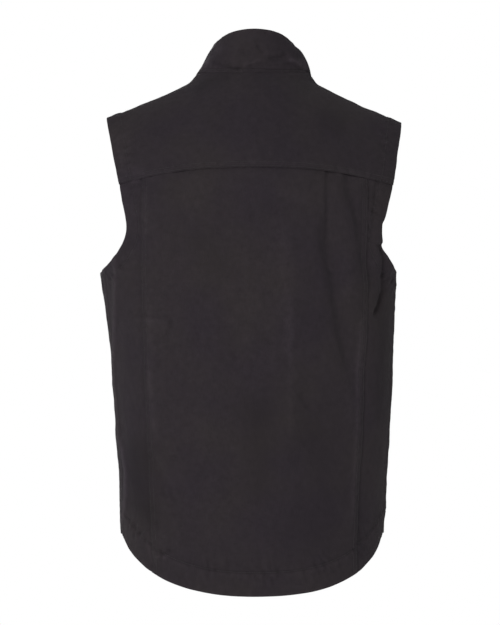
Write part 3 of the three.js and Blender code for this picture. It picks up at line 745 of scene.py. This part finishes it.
def front_panel_grid(side):
    u, v = (stops(span) for span in PANEL_SPAN["front"])
    seam_angle = SIDE_SEAM[side] - UNDERLAP / GIRTH_RADIUS
    shoulder = np.array(SHOULDER_SEAM + SHOULDER_UNDERLAP)
    tip = armhole_over_shoulder(side, shoulder)
    tip_height = shoulder_form(side * tip, shoulder)[..., 2]

    def front_spot(across, height):
        return np.stack([HALF_TURN - angle_at(side, across, height), height + np.zeros_like(across)], -1)

    rise = climb_above(v)
    lower = rise <= 0
    upper = rise > FRONT_ROUND
    climbed = (rise[upper] - FRONT_ROUND) / (1 - FRONT_ROUND)
    turn = mix(-underarm_share(side, seam_angle), 1, np.clip(rise / FRONT_ROUND, 0, 1))
    armhole = armhole_round(side, turn)
    armhole[lower, 0] = seam_angle
    armhole[lower, 1] = mix(HEM["side"], armhole[lower, 1], climb_below(v[lower]))
    height = mix(ARMHOLE_NARROWEST, tip_height, climbed)
    armhole[upper] = front_spot(armhole_across(side, "front", height), height)
    neck_x, neck_roll = neckline(HALF_TURN - QUARTER_TURN * climbed, NECK_TUCK)
    first_x, first_roll = neckline(np.array(HALF_TURN), NECK_TUCK)
    neck_height = shoulder_form(side * first_x, first_roll)[..., 2]
    zip_height = mix(HEM["front"], FRONT_DIP, climb_below(v))
    zip_height = mix(zip_height, neck_height, np.clip(rise / FRONT_ROUND, 0, 1))
    inner = front_spot(np.full_like(v, FRONT_EDGE), zip_height)
    inner[upper] = front_spot(neck_x, shoulder_form(side * neck_x, neck_roll)[..., 2])
    hem_angle = mix(seam_angle, inner[0, 0], u)
    bottom = np.stack([hem_angle, mix(HEM["side"], HEM["front"], u)], -1)
    across = mix(tip, NECK_HALF_WIDTH - NECK_TUCK, u)
    top = front_spot(across, shoulder_form(side * across, shoulder + np.zeros_like(across))[..., 2])
    top[-1] = inner[-1]
    edges = [to_roll_share(side, edge) for edge in (bottom, top, armhole, inner)]
    spots = from_roll_share(side, fill(*edges, u, v))
    return raise_neck(body_form(side * spots[..., 0], spots[..., 1]))


def yoke_grid():
    neck_share = NECK_HALF_WIDTH / SHOULDER_TIP
    u, v = (stops(span) for span in PANEL_SPAN["yoke"])
    shares = mix(1, -1, u)
    side = np.where(shares < 0, -1, 1)
    top_roll = SHOULDER_SEAM - SHOULDER_LAP

    def seam_height(x):
        return yoke_seam_height(x) - LAP

    def over_shoulder(one_side):
        low = settle(lambda across: armhole_across(one_side, "back", seam_height(across)), FIRST_ACROSS)
        roll = mix(yoke_roll(one_side * low, seam_height(low)), top_roll, v)
        return np.stack([one_side * armhole_over_shoulder(one_side, roll), roll], -1)

    start, end = over_shoulder(1), over_shoulder(-1)
    x = np.abs(shares) * np.where(side > 0, start[0, 0], end[0, 0])
    bottom = np.stack([x, yoke_roll(x, seam_height(x))], -1)
    beyond = np.clip((np.abs(shares) - neck_share) / (1 - neck_share), 0, 1)
    neck_x, neck_roll = neckline(QUARTER_TURN * np.clip(np.abs(shares) / neck_share, 0, 1), NECK_TUCK)
    tip = np.where(side > 0, start[-1, 0], end[-1, 0])
    top = np.stack([mix(side * neck_x, tip, beyond), np.where(beyond > 0, top_roll, neck_roll)], -1)
    spots = fill(bottom, top, start, end, (1 - shares) / 2, v)
    return raise_neck(shoulder_form(spots[..., 0], spots[..., 1]))


def collar_spots():
    """The angles round the collar and the shares of its height, from its foot to its rim."""
    u, v = (stops(span) for span in PANEL_SPAN["collar"])
    angles = mix(HALF_TURN, -HALF_TURN, u)[:, None]
    rises = mix(COLLAR_FOOT + raise_share(angles), 1, v[None])
    return np.broadcast_arrays(angles, rises)


# Relief of the cloth


def waves(points, rows):
    """Smooth irregular relief: the sum of some rows of waves."""
    relief = np.zeros(points.shape[:-1])
    for height, length, seed, count in rows:
        draw = np.random.default_rng(seed)
        for _ in range(count):
            direction = draw.normal(size=3)
            direction *= FULL_TURN / (length * draw.uniform(*WAVE_LENGTHS) * np.linalg.norm(direction))
            relief += height / math.sqrt(count) * np.sin(points @ direction + draw.uniform(0, FULL_TURN))
    return relief


def puckers(along, away, length, seed):
    """Uneven puckers that run across a seam, about -1 to 1."""
    draw = np.random.default_rng(seed)
    relief = np.zeros_like(along)
    for _ in range(PUCKERS["count"]):
        turns = FULL_TURN / (length * draw.uniform(*PUCKERS["lengths"]))
        slanted = along + draw.normal(0, PUCKERS["slant"]) * away
        relief += np.sin(slanted * turns + draw.uniform(0, FULL_TURN))
    swell = np.sin(along * FULL_TURN / (length * PUCKERS["swell"]) + draw.uniform(0, FULL_TURN))
    return np.tanh(relief / PUCKERS["limit"]) * mix(swell, 1, PUCKERS["level"])


def along_lines(points, lines):
    """How much each point takes of the lines that run over the cloth, such as folds and lines of wear and
    painted light.
    """
    flat = points * np.array([1, 0, 1])
    share = np.zeros(points.shape[:-1])
    for line, inner, outer, amount, fade in lines:
        run = np.array([(x, 0, z) for x, z in line], float)
        away, along, nearest = near_line(flat, run)
        length = lengths_along(run, 0)[-1]
        beyond = (flat[..., 0] - nearest[..., 0]) * np.sign(run[:, 0].mean()) > 0
        ease = smooth_step(0, fade, along) * smooth_step(0, fade, length - along)
        share += amount * ease * np.exp(-(away / np.where(beyond, outer, inner)) ** 2)
    return share


def near_line(points, line, chunk=4000):
    """How far each point is from a line, how far along the line its nearest spot is, and that spot."""
    start = line[:-1]
    step = np.diff(line, axis=0)
    length = np.linalg.norm(step, axis=1)
    gone = np.concatenate([[0], np.cumsum(length)[:-1]])
    flat = points.reshape(-1, 3)
    away = np.empty(len(flat))
    along = np.empty(len(flat))
    nearest = np.empty_like(flat)
    for first in range(0, len(flat), chunk):
        part = slice(first, first + chunk)
        offset = flat[part, None] - start
        share = np.clip((offset * step).sum(-1) / length ** 2, 0, 1)
        gap = np.linalg.norm(offset - share[..., None] * step, axis=-1)
        best = gap.argmin(1)
        rows = np.arange(len(best))
        away[part] = gap[rows, best]
        along[part] = gone[best] + share[rows, best] * length[best]
        nearest[part] = start[best] + share[rows, best, None] * step[best]
    shape = points.shape[:-1]
    return away.reshape(shape), along.reshape(shape), nearest.reshape(points.shape)


class Cloth:
    """A panel of cloth: its grid of points, how far each is lifted, its wear with painted highlights and
    painted shade, and its rows of stitches.
    """

    def __init__(self, name, points, wall, centre=BODY_CENTRE):
        self.name = name
        self.points = points
        self.wall = wall
        normals = unit(np.cross(np.gradient(points, axis=0), np.gradient(points, axis=1)))
        self.turn = 1 if (normals * (points - np.array(centre))).sum() > 0 else -1
        self.normals = normals * self.turn
        self.lift = np.zeros(points.shape[:-1])
        self.worn = np.zeros(points.shape[:-1])
        self.paths = []

    def finish_edge(self, edge, finish, first=0.0, last=1.0, seed=0):
        """Finishes a stretch of one edge, given by its shares of that edge."""
        style = dict(zip(FINISH_COLUMNS, FINISHES[finish]))
        grid = {"start": self.points, "end": self.points[::-1]}.get(edge)
        if grid is None:
            turned = self.points.swapaxes(0, 1)
            grid = turned if edge == "bottom" else turned[::-1]
        count = grid.shape[1] - 1
        stretch = slice(int(round(first * count)), int(round(last * count)) + 1)
        line = grid[0, stretch][::EDGE_STEP]
        away, along, _ = near_line(self.points, line)
        double = 1 - smooth_step(style["band"] - BAND_EDGE, style["band"] + style["slope"], away)
        ripple = puckers(along, away, style["wave"], seed)
        middle = np.mean(style["rows"] or [style["band"]])
        near = np.exp(-((away - middle) / style["fade"]) ** 2)
        self.lift += style["lift"] * double + style["pucker"] * ripple * near
        for row in style["rows"]:
            self.lift -= style["pull"] * np.exp(-((away - row) / PULL_WIDTH) ** 2)
        # bands of wear and painted highlights, and of painted shade where negative, then painted shade
        # along each row of stitches
        for place, width, amount in style["worn"]:
            patchy = PATCHY_WEAR_AND_HIGHLIGHT["base"] + PATCHY_WEAR_AND_HIGHLIGHT["spread"] * np.clip(ripple, *PATCHY_WEAR_AND_HIGHLIGHT["limits"])
            self.worn += amount * (patchy if amount > 0 else 1.0) * np.exp(-((away - place) / width) ** 2)
        for row in style["rows"]:
            self.worn -= STITCH_SHADE * np.exp(-((away - row) / SHADE_WIDTH) ** 2)
            self.paths.append((edge, stretch, away, row))

    def surface(self):
        return self.points + self.normals * self.lift[..., None]

    def stitch_paths(self):
        """Points and normals along each row of stitches."""
        surface = self.surface()
        for edge, stretch, away, row in self.paths:
            fields = [surface, self.normals, away]
            if edge in ("bottom", "top"):
                fields = [field.swapaxes(0, 1) for field in fields]
            if edge in ("end", "top"):
                fields = [field[::-1] for field in fields]
            spots, normals, gaps = (field[:, stretch] for field in fields)
            reached = gaps > row
            index = reached.argmax(0)
            lines = np.flatnonzero(reached.any(0) & (index > 0))
            high = index[lines]
            before, after = gaps[high - 1, lines], gaps[high, lines]
            share = ((row - before) / (after - before))[:, None]
            path = mix(spots[high - 1, lines], spots[high, lines], share)
            yield path, mix(normals[high - 1, lines], normals[high, lines], share)


# Meshes


def unit(vectors):
    """The vectors at length one."""
    return vectors / np.linalg.norm(vectors, axis=-1, keepdims=True)


def read_along(values, gone, at):
    """Reads vectors, known at some lengths along a line, at other lengths."""
    return np.stack([np.interp(at, gone, values[:, k]) for k in range(3)], -1)


def once_round(sides):
    """The angles of evenly spaced points once round."""
    return np.arange(sides) * FULL_TURN / sides


def make_object(name, vertices, faces, material):
    mesh = bpy.data.meshes.new(name)
    mesh.from_pydata((np.asarray(vertices) * MM).tolist(), [], faces)
    mesh.shade_smooth()
    mesh.materials.append(material)
    piece = bpy.data.objects.new(name, mesh)
    bpy.context.scene.collection.objects.link(piece)
    return piece


def joined_object(name, parts, material):
    """One object from several sets of points and faces."""
    vertices, faces, count = [], [], 0
    for points, polygons in parts:
        vertices.append(points)
        faces += [[k + count for k in polygon] for polygon in polygons]
        count += len(points)
    return make_object(name, np.concatenate(vertices), faces, material)


def loft(rings):
    """Points and faces of closed forms with flat ends, each through rings of points."""
    index = np.arange(rings.size // 3).reshape(rings.shape[:-1])
    following = np.roll(index, -1, axis=-1)
    low, high = np.s_[..., :-1, :], np.s_[..., 1:, :]
    sides = np.stack([index[low], following[low], following[high], index[high]], -1).reshape(-1, 4)
    ends = np.stack([index[..., 0, ::-1], index[..., -1, :]]).reshape(-1, rings.shape[-2])
    return rings.reshape(-1, 3), sides.tolist() + ends.tolist()


def lengths_along(points, axis):
    """How far each point of a grid is along its own line from that line's start."""
    gone = np.cumsum(np.linalg.norm(np.diff(points, axis=axis), axis=-1), axis=axis)
    return np.insert(gone, 0, 0, axis=axis)


def boundary(columns, rows):
    """The grid's border as columns and rows, once round."""
    i = np.concatenate([np.arange(columns), np.full(rows - 1, columns - 1),
                        np.arange(columns - 2, -1, -1), np.zeros(rows - 2, int)])
    j = np.concatenate([np.zeros(columns, int), np.arange(1, rows),
                        np.full(columns - 1, rows - 1), np.arange(rows - 2, 0, -1)])
    return i, j


def cloth_object(cloth, material):
    """A closed sheet with a rounded edge, with its thread directions, and its wear with painted highlights
    and painted shade, kept for the material.
    """
    outer = cloth.surface()
    inner = outer - cloth.normals * cloth.wall
    columns, rows = outer.shape[:2]
    index = np.arange(columns * rows).reshape(columns, rows)
    quads = np.stack([index[:-1, :-1], index[1:, :-1], index[1:, 1:], index[:-1, 1:]], -1).reshape(-1, 4)
    i, j = boundary(columns, rows)
    inside = outer[np.clip(i, 1, columns - 2), np.clip(j, 1, rows - 2)]
    out, normal = outer[i, j], cloth.normals[i, j]
    outwards = out - inside
    outwards = unit(outwards - normal * (outwards * normal).sum(-1, keepdims=True))
    middle = out - normal * cloth.wall / 2
    vertices = [outer.reshape(-1, 3), inner.reshape(-1, 3)]
    loops = [index[i, j]]
    count = 2 * columns * rows
    for step in range(1, RIM_STEPS + 1):
        angle = mix(QUARTER_TURN, -QUARTER_TURN, step / (RIM_STEPS + 1))
        vertices.append(middle + (normal * math.sin(angle) + outwards * math.cos(angle)) * cloth.wall / 2)
        loops.append(np.arange(count, count + len(i)))
        count += len(i)
    loops.append(index[i, j] + columns * rows)
    strips = [
        np.stack([a, b, np.roll(b, -1), np.roll(a, -1)], -1) for a, b in zip(loops[:-1], loops[1:])
    ]
    faces = np.concatenate([quads, quads[:, ::-1] + columns * rows, *strips])
    if cloth.turn < 0:
        faces = faces[:, ::-1]
    piece = make_object(cloth.name, np.concatenate(vertices), faces.tolist(), material)
    across = lengths_along(cloth.points, 0)
    along = lengths_along(cloth.points, 1)
    threads = np.stack([across, along, np.zeros_like(across)], -1) * MM
    border = [threads[i, j]] * RIM_STEPS
    threads = np.concatenate([threads.reshape(-1, 3), threads.reshape(-1, 3), *border])
    # wear, painted highlights and painted shade on the outside and the rim, none inside
    worn = np.concatenate([cloth.worn.ravel(), np.zeros(columns * rows), *[cloth.worn[i, j]] * RIM_STEPS])
    mesh = piece.data
    mesh.attributes.new("threads", "FLOAT_VECTOR", "POINT").data.foreach_set("vector", threads.ravel())
    mesh.attributes.new("worn", "FLOAT", "POINT").data.foreach_set("value", worn)
    return piece


def sweep_stitches(path, normals):
    """Short rounded stitches along a path, as points and faces."""
    gone = lengths_along(path, 0)
    starts = np.arange(STITCH_PITCH / 2, gone[-1] - STITCH_LENGTH, STITCH_PITCH)
    t = np.linspace(0, 1, STITCH_RINGS)
    at = starts[:, None] + STITCH_LENGTH * t
    up = read_along(normals, gone, at)
    run = unit(read_along(path, gone, at + STITCH_STEP) - read_along(path, gone, at - STITCH_STEP))
    across = np.cross(run, up)
    arch = STITCH_RADIUS * (STITCH_ARCH * np.sin(np.pi * t) - STITCH_SINK)
    spots = read_along(path, gone, at) + up * arch[:, None]
    radius = STITCH_RADIUS * np.sqrt(np.sin(np.pi * mix(STITCH_TAPER, 1 - STITCH_TAPER, t)))
    turn = once_round(STITCH_SIDES)
    ring = across[:, :, None] * np.cos(turn)[:, None] + up[:, :, None] * np.sin(turn)[:, None]
    return loft(spots[:, :, None] + ring * radius[:, None, None])


def stitching_object(cloth, material):
    """All the stitches of a cloth as one piece."""
    parts = [sweep_stitches(path, normals) for path, normals in cloth.stitch_paths()]
    return joined_object(cloth.name.replace("cloth", "stitching"), parts, material)


# Materials


def new_material(name):
    material = bpy.data.materials.new(name)
    material.use_nodes = True
    return material, material.node_tree, material.node_tree.nodes["Principled BSDF"]


def set_inputs(tree, node, inputs):
    """Fills inputs of a node, each with a value or from the output of another node."""
    for name, value in inputs.items():
        if isinstance(value, bpy.types.NodeSocket):
            tree.links.new(value, node.inputs[name])
        else:
            node.inputs[name].default_value = value


def add_node(tree, kind, inputs, **settings):
    node = tree.nodes.new("ShaderNode" + kind)
    for name, value in settings.items():
        setattr(node, name, value)
    set_inputs(tree, node, inputs)
    return node


def add_math(tree, operation, *values):
    return add_node(tree, "Math", dict(enumerate(values)), operation=operation).outputs[0]


def add_noise(tree, vector, scale, detail, roughness=0.5):
    inputs = {"Vector": vector, "Scale": scale, "Detail": detail, "Roughness": roughness}
    return add_node(tree, "TexNoise", inputs).outputs["Fac"]


def add_place(tree):
    return add_node(tree, "TexCoord", {}).outputs["Object"]


def add_scaled(tree, vector, scale):
    return add_node(tree, "VectorMath", {0: vector, "Scale": scale}, operation="SCALE").outputs[0]


def canvas_material():
    """Washed canvas: a plain weave, uneven yarns, a mottled fade, and cloth lighter where seams rub and at
    painted highlights, darker at painted shade.
    """
    material, tree, shader = new_material("washed_canvas")
    threads = add_node(tree, "Attribute", {}, attribute_name="threads").outputs["Vector"]
    worn = add_node(tree, "Attribute", {}, attribute_name="worn").outputs["Fac"]
    place = add_place(tree)
    yarn = add_node(tree, "Mapping", {"Vector": threads, "Scale": YARN_SCALE}).outputs["Vector"]
    noise = {}
    for name, row in CANVAS_NOISE.items():
        noise[name] = add_noise(tree, yarn if name == "slub" else place, *row)
    split = add_node(tree, "SeparateXYZ", {0: threads})
    turns = FULL_TURN / (THREAD_SIZE * MM)
    warp = add_math(tree, "SINE", add_math(tree, "MULTIPLY", split.outputs["X"], turns))
    weft = add_math(tree, "SINE", add_math(tree, "MULTIPLY", split.outputs["Y"], turns))
    weave = add_math(tree, "MULTIPLY", warp, weft)
    # the last tone lightens worn cloth and painted highlights and darkens painted shade
    varied = {**noise, "weave": weave, "wear_and_light_tone": add_math(tree, "MULTIPLY", worn, noise["mottle"])}
    tone = 1.0
    for name, (spread, base) in CANVAS_TONE.items():
        share = add_math(tree, "MULTIPLY_ADD", varied[name], spread, base)
        tone = add_math(tree, "MULTIPLY", tone, share)
    low, high = DYE_PATCH
    patch = add_node(tree, "MapRange", {"Value": noise["fade"], "From Min": low, "From Max": high})
    dyes = {"Factor": patch.outputs[0], "A": COOL_DYE, "B": WARM_DYE}
    dye = add_node(tree, "Mix", dyes, data_type="VECTOR").outputs["Result"]
    relief = noise["crumple"]
    for name, height in CANVAS_RELIEF.items():
        relief = add_math(tree, "MULTIPLY_ADD", varied[name], height, relief)
    bump = add_node(tree, "Bump", {"Height": relief, **CANVAS_BUMP}).outputs[0]
    set_inputs(tree, shader, {"Base Color": add_scaled(tree, dye, tone), "Normal": bump, **CANVAS_SHADER})
    return material


def plain_material(name, colour, roughness, metallic, grain_scale, grain_depth):
    """A finish with a fine grain, for thread, moulded teeth and painted metal."""
    material, tree, shader = new_material(name)
    grain = add_noise(tree, add_place(tree), grain_scale, GRAIN_DETAIL)
    dye = add_scaled(tree, colour, add_math(tree, "MULTIPLY_ADD", grain, *GRAIN_TONE))
    bump = add_node(tree, "Bump", {"Height": grain, "Strength": GRAIN_STRENGTH, "Distance": grain_depth})
    set_inputs(tree, shader, {"Base Color": dye, "Normal": bump.outputs[0]})
    set_inputs(tree, shader, {"Roughness": roughness, "Metallic": metallic})
    return material


# Zip


def zip_path():
    """Points up the middle of the zip at every half pitch of its teeth, and the way out of the cloth."""
    neck_height = shoulder_form(np.zeros(1), np.array([NECK_FRONT_ROLL]))[0, 2]
    heights = np.linspace(HEM["front"], neck_height, ZIP_POINTS["body"])
    rises = np.linspace(0, 1, ZIP_POINTS["collar"])
    body = body_form(np.full_like(heights, HALF_TURN), heights)
    collar = collar_form(np.full_like(rises, HALF_TURN), rises)
    line = np.concatenate([body, collar[1:]])
    line[:, 0] = 0
    gone = lengths_along(line, 0)
    at = np.arange(TOOTH_PITCH, gone[-1] - TOOTH_PITCH, TOOTH_PITCH / 2)
    path = read_along(line, gone, at)
    run = unit(np.gradient(path, axis=0))
    outwards = np.stack([np.zeros(len(run)), -run[:, 2], run[:, 1]], -1)
    return path, run, outwards


def zip_tape(material):
    path, _, outwards = zip_path()
    middle = (path - outwards * TAPE_DEPTH)[::TAPE_STEP]
    across = np.linspace(-TAPE_HALF_WIDTH, TAPE_HALF_WIDTH, TAPE_COLUMNS)
    points = middle[None] + ASIDE * across[:, None, None]
    return cloth_object(Cloth("zip_tape", points, TAPE_WALL, centre=TAPE_CENTRE), material)


def zip_teeth(material):
    """Moulded teeth, in turn from the left and the right."""
    outline = np.array(TOOTH_OUTLINE)
    middle = outline.mean(0)
    path, run, outwards = zip_path()
    sides = np.where(np.arange(len(path)) % 2, 1.0, -1.0)
    rings = []
    for depth, size in TOOTH_LAYERS:
        flat = middle + (outline - middle) * size
        ring = path[:, None] + outwards[:, None] * depth + run[:, None] * flat[:, 1, None]
        rings.append(ring + ASIDE * (sides[:, None] * flat[:, 0])[..., None])
    points = np.stack(rings, 1)
    points[sides < 0] = points[sides < 0, :, ::-1]
    return make_object("zip_teeth", *loft(points), material)


def rounded_rings(stations, power):
    """Rings round a line: for each station its place along it and off it, its half width and half depth."""
    turn = once_round(RING_SIDES["slider"])
    rings = []
    for along, off, half_wide, half_deep in stations:
        across = half_wide * signed_power(np.cos(turn), 2 / power)
        deep = off + half_deep * signed_power(np.sin(turn), 2 / power)
        rings.append(np.stack([across, deep, np.full_like(turn, along)], -1))
    return np.array(rings)


def bridge_rings():
    """Rings of the round wire that arches over the slider."""
    bend = np.linspace(*BRIDGE["bend"], BRIDGE["points"]) * math.pi
    height = BRIDGE["base"] + BRIDGE["rise"] * np.sin(bend)
    line = np.stack([np.zeros_like(bend), height, BRIDGE["middle"] - BRIDGE["half"] * np.cos(bend)], -1)
    up = np.cross(unit(np.gradient(line, axis=0)), ASIDE)
    turn = once_round(RING_SIDES["bridge"])
    ring = np.cos(turn)[:, None] * ASIDE + np.sin(turn)[:, None] * up[:, None]
    return line[:, None] + BRIDGE["radius"] * ring


def zip_slider(material):
    """The slider with its bridge and hanging tab, and the box at the foot of the zip."""
    path, run, outwards = zip_path()
    forms = (
        (rounded_rings(SLIDER_BODY, ROUNDING["body"]), SLIDER_SPOT),
        (bridge_rings(), SLIDER_SPOT),
        (rounded_rings(SLIDER_TAB, ROUNDING["tab"]), SLIDER_SPOT),
        (rounded_rings(ZIP_BOX, ROUNDING["box"]), BOX_SPOT),
    )
    parts = []
    for rings, at in forms:
        points, polygons = loft(rings)
        parts.append((path[at] + points @ np.stack([ASIDE, outwards[at], run[at]]), polygons))
    return joined_object("zip_slider", parts, material)


# Scene


def add_light(name, place, target, size, power):
    light = bpy.data.lights.new(name, "AREA")
    light.shape = "DISK"
    light.size = size
    light.energy = power
    lamp = bpy.data.objects.new(name, light)
    lamp.location = place
    lamp.rotation_euler = (Vector(target) - Vector(place)).to_track_quat("-Z", "Y").to_euler()
    bpy.context.scene.collection.objects.link(lamp)


def set_world():
    """A white room: plain white where it is seen, and softer where it lights the cloth."""
    world = bpy.data.worlds.new("studio")
    world.use_nodes = True
    tree = world.node_tree
    seen = add_node(tree, "LightPath", {}).outputs["Is Camera Ray"]
    strength = add_math(tree, "MULTIPLY_ADD", seen, 1 - ROOM_LIGHT, ROOM_LIGHT)
    set_inputs(tree, tree.nodes["Background"], {"Color": (1, 1, 1, 1), "Strength": strength})
    bpy.context.scene.world = world


def set_camera():
    data = bpy.data.cameras.new("photo_camera")
    data.sensor_width = SENSOR
    data.lens = SENSOR * CAMERA_PLACE[1] / PHOTO_HEIGHT
    camera = bpy.data.objects.new("photo_camera", data)
    camera.location = [value * MM for value in CAMERA_PLACE]
    camera.rotation_euler = (QUARTER_TURN, 0, HALF_TURN)
    bpy.context.scene.collection.objects.link(camera)
    bpy.context.scene.camera = camera


def add_floor():
    """A round of pale paper with a painted glow that brightens towards its edge, where it meets the white
    room.
    """
    material, tree, shader = new_material("floor_paper")
    reach = add_node(tree, "VectorMath", {0: add_place(tree)}, operation="LENGTH").outputs["Value"]
    near, far = FLOOR_GLOW
    spread = {"From Min": -FLOOR_HEIGHT * MM, "From Max": FLOOR_RADIUS * MM, "To Min": near, "To Max": far}
    glow = add_node(tree, "MapRange", {"Value": reach, **spread}, interpolation_type="SMOOTHSTEP")
    set_inputs(tree, shader, {**FLOOR_SHADER, "Emission Strength": glow.outputs["Result"]})
    turn = once_round(FLOOR_SIDES)
    edge = outward(turn) * FLOOR_RADIUS + np.array([0, 0, FLOOR_HEIGHT])
    floor = make_object("floor", edge[::-1], [list(range(FLOOR_SIDES))], material)


def back_share(cloth):
    """How far each point belongs to the back of the body rather than its front."""
    return smooth_step(*BACK_HALF, cloth.points[..., 1])


def drape(cloth):
    """Waves of a panel, and its wear with painted highlights and painted shade."""
    cloth.lift += waves(cloth.points, CLOTH_WAVES)
    # wear with painted highlights and painted shade on the back
    cloth.worn += back_share(cloth) * along_lines(cloth.points, BACK_WEAR_AND_PAINTED_LIGHT)


def fold(cloth):
    behind = back_share(cloth)
    cloth.lift -= behind * along_lines(cloth.points, BACK_FOLDS)
    cloth.lift -= (1 - behind) * along_lines(cloth.points, FRONT_FOLDS)


def make_yoke():
    yoke = Cloth("back_yoke_cloth", yoke_grid(), WALL)
    neck_share = NECK_HALF_WIDTH / SHOULDER_TIP
    neck_start, neck_end = (1 - neck_share) / 2, (1 + neck_share) / 2
    yoke.finish_edge("bottom", "lap", seed=11)
    yoke.finish_edge("start", "armhole", seed=12)
    yoke.finish_edge("end", "armhole", seed=13)
    yoke.finish_edge("top", "lap", 0.0, neck_start, seed=14)
    yoke.finish_edge("top", "lap", neck_end, 1.0, seed=15)
    yoke.finish_edge("top", "tuck", neck_start, neck_end, seed=16)
    drape(yoke)
    return yoke


def make_back():
    back = Cloth("back_panel_cloth", back_panel_grid(), WALL)
    back.finish_edge("start", "princess", seed=21)
    back.finish_edge("end", "princess", seed=22)
    back.finish_edge("bottom", "hem", seed=23)
    back.finish_edge("top", "under", seed=24)
    drape(back)
    fold(back)
    back.lift -= along_lines(back.points, PLEATS)
    return back


def make_back_side(word, side):
    panel = Cloth(f"back_side_cloth_{word}", back_side_grid(side), WALL)
    panel.finish_edge("start", "side", 0.0, UNDERARM_ROW, seed=31 + side)
    panel.finish_edge("start", "armhole", UNDERARM_ROW, 1.0, seed=33 + side)
    panel.finish_edge("end", "under_princess", seed=35 + side)
    panel.finish_edge("bottom", "hem", seed=37 + side)
    panel.finish_edge("top", "under", seed=39 + side)
    drape(panel)
    fold(panel)
    return panel


def make_front(word, side):
    panel = Cloth(f"front_cloth_{word}", front_panel_grid(side), WALL)
    zip_end = mix(UNDERARM_ROW, 1, FRONT_ROUND)  # the edge follows the neckline above it
    panel.finish_edge("start", "under", 0.0, UNDERARM_ROW, seed=41 + side)
    panel.finish_edge("start", "armhole", UNDERARM_ROW, 1.0, seed=43 + side)
    panel.finish_edge("end", "front", 0.0, zip_end, seed=45 + side)
    panel.finish_edge("end", "tuck", zip_end, 1.0, seed=47 + side)
    panel.finish_edge("bottom", "hem", seed=49 + side)
    panel.finish_edge("top", "under", seed=51 + side)
    drape(panel)
    fold(panel)
    return panel


def make_collar():
    angle, rise = collar_spots()
    collar = Cloth("collar_cloth", collar_form(angle, rise), COLLAR_WALL, centre=COLLAR_CENTRE)
    collar.finish_edge("bottom", "neck", seed=71)
    collar.finish_edge("top", "rim", seed=72)
    collar.finish_edge("start", "front", seed=73)
    collar.finish_edge("end", "front", seed=74)
    x = collar.points[..., 0]
    roll = pick(RIM_ROLL, x) * collar_range("roll_across", np.abs(x))
    bulge = pick(SIDE_BULGE, x) * collar_range("bulge_across", np.abs(x))
    collar.lift += foot_flare(x, rise) - roll * collar_range("roll_up", rise)
    collar.lift += bulge * collar_range("bulge_in", rise) * (1 - collar_range("bulge_out", rise))
    behind = back_share(collar)
    collar.lift += waves(collar.points, COLLAR_WAVES) - behind * along_lines(collar.points, COLLAR_FOLDS)
    # painted highlights and wear along the collar's ridges
    collar.worn += behind * along_lines(collar.points, COLLAR_WEAR_AND_PAINTED_LIGHT)
    return collar


def make_cloths():
    cloths = [make_yoke(), make_back()]
    for word, side in (("left", 1), ("right", -1)):
        cloths += [make_back_side(word, side), make_front(word, side)]
    return cloths + [make_collar()]


def declare(piece, nodes=()):
    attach(piece, "root")
    if nodes:
        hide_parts(*nodes)


def flat_size(cloth):
    """The width, length and area of a panel before it is sewn, in metres."""
    points = cloth.points * MM
    width = lengths_along(points, 0)[-1].max()
    length = lengths_along(points, 1)[:, -1].max()
    one = np.cross(points[1:, :-1] - points[:-1, :-1], points[:-1, 1:] - points[:-1, :-1])
    two = np.cross(points[:-1, 1:] - points[1:, 1:], points[1:, :-1] - points[1:, 1:])
    area = (np.linalg.norm(one, axis=-1) + np.linalg.norm(two, axis=-1)).sum() / 2
    return float(width), float(length), float(area)


canvas = canvas_material()
thread, teeth, metal = (plain_material(name, *row) for name, row in PLAIN_FINISHES.items())

cloths = make_cloths()
for cloth in cloths:
    piece = cloth_object(cloth, canvas)
    declare(piece, [REPLACED[cloth.name]])
    stitching = stitching_object(cloth, thread)
    declare(stitching)
    width, length, area = flat_size(cloth)

teeth_piece = zip_teeth(teeth)
declare(teeth_piece, ["front_zip"])
slider = zip_slider(metal)
declare(slider)
tape = zip_tape(canvas)
declare(tape)
width, length = 2 * TAPE_HALF_WIDTH * MM, ZIP_LENGTH * MM

add_floor()
set_camera()
set_world()
for light in LIGHTS:
    add_light(*light)
bpy.context.scene.view_settings.view_transform = "Standard"
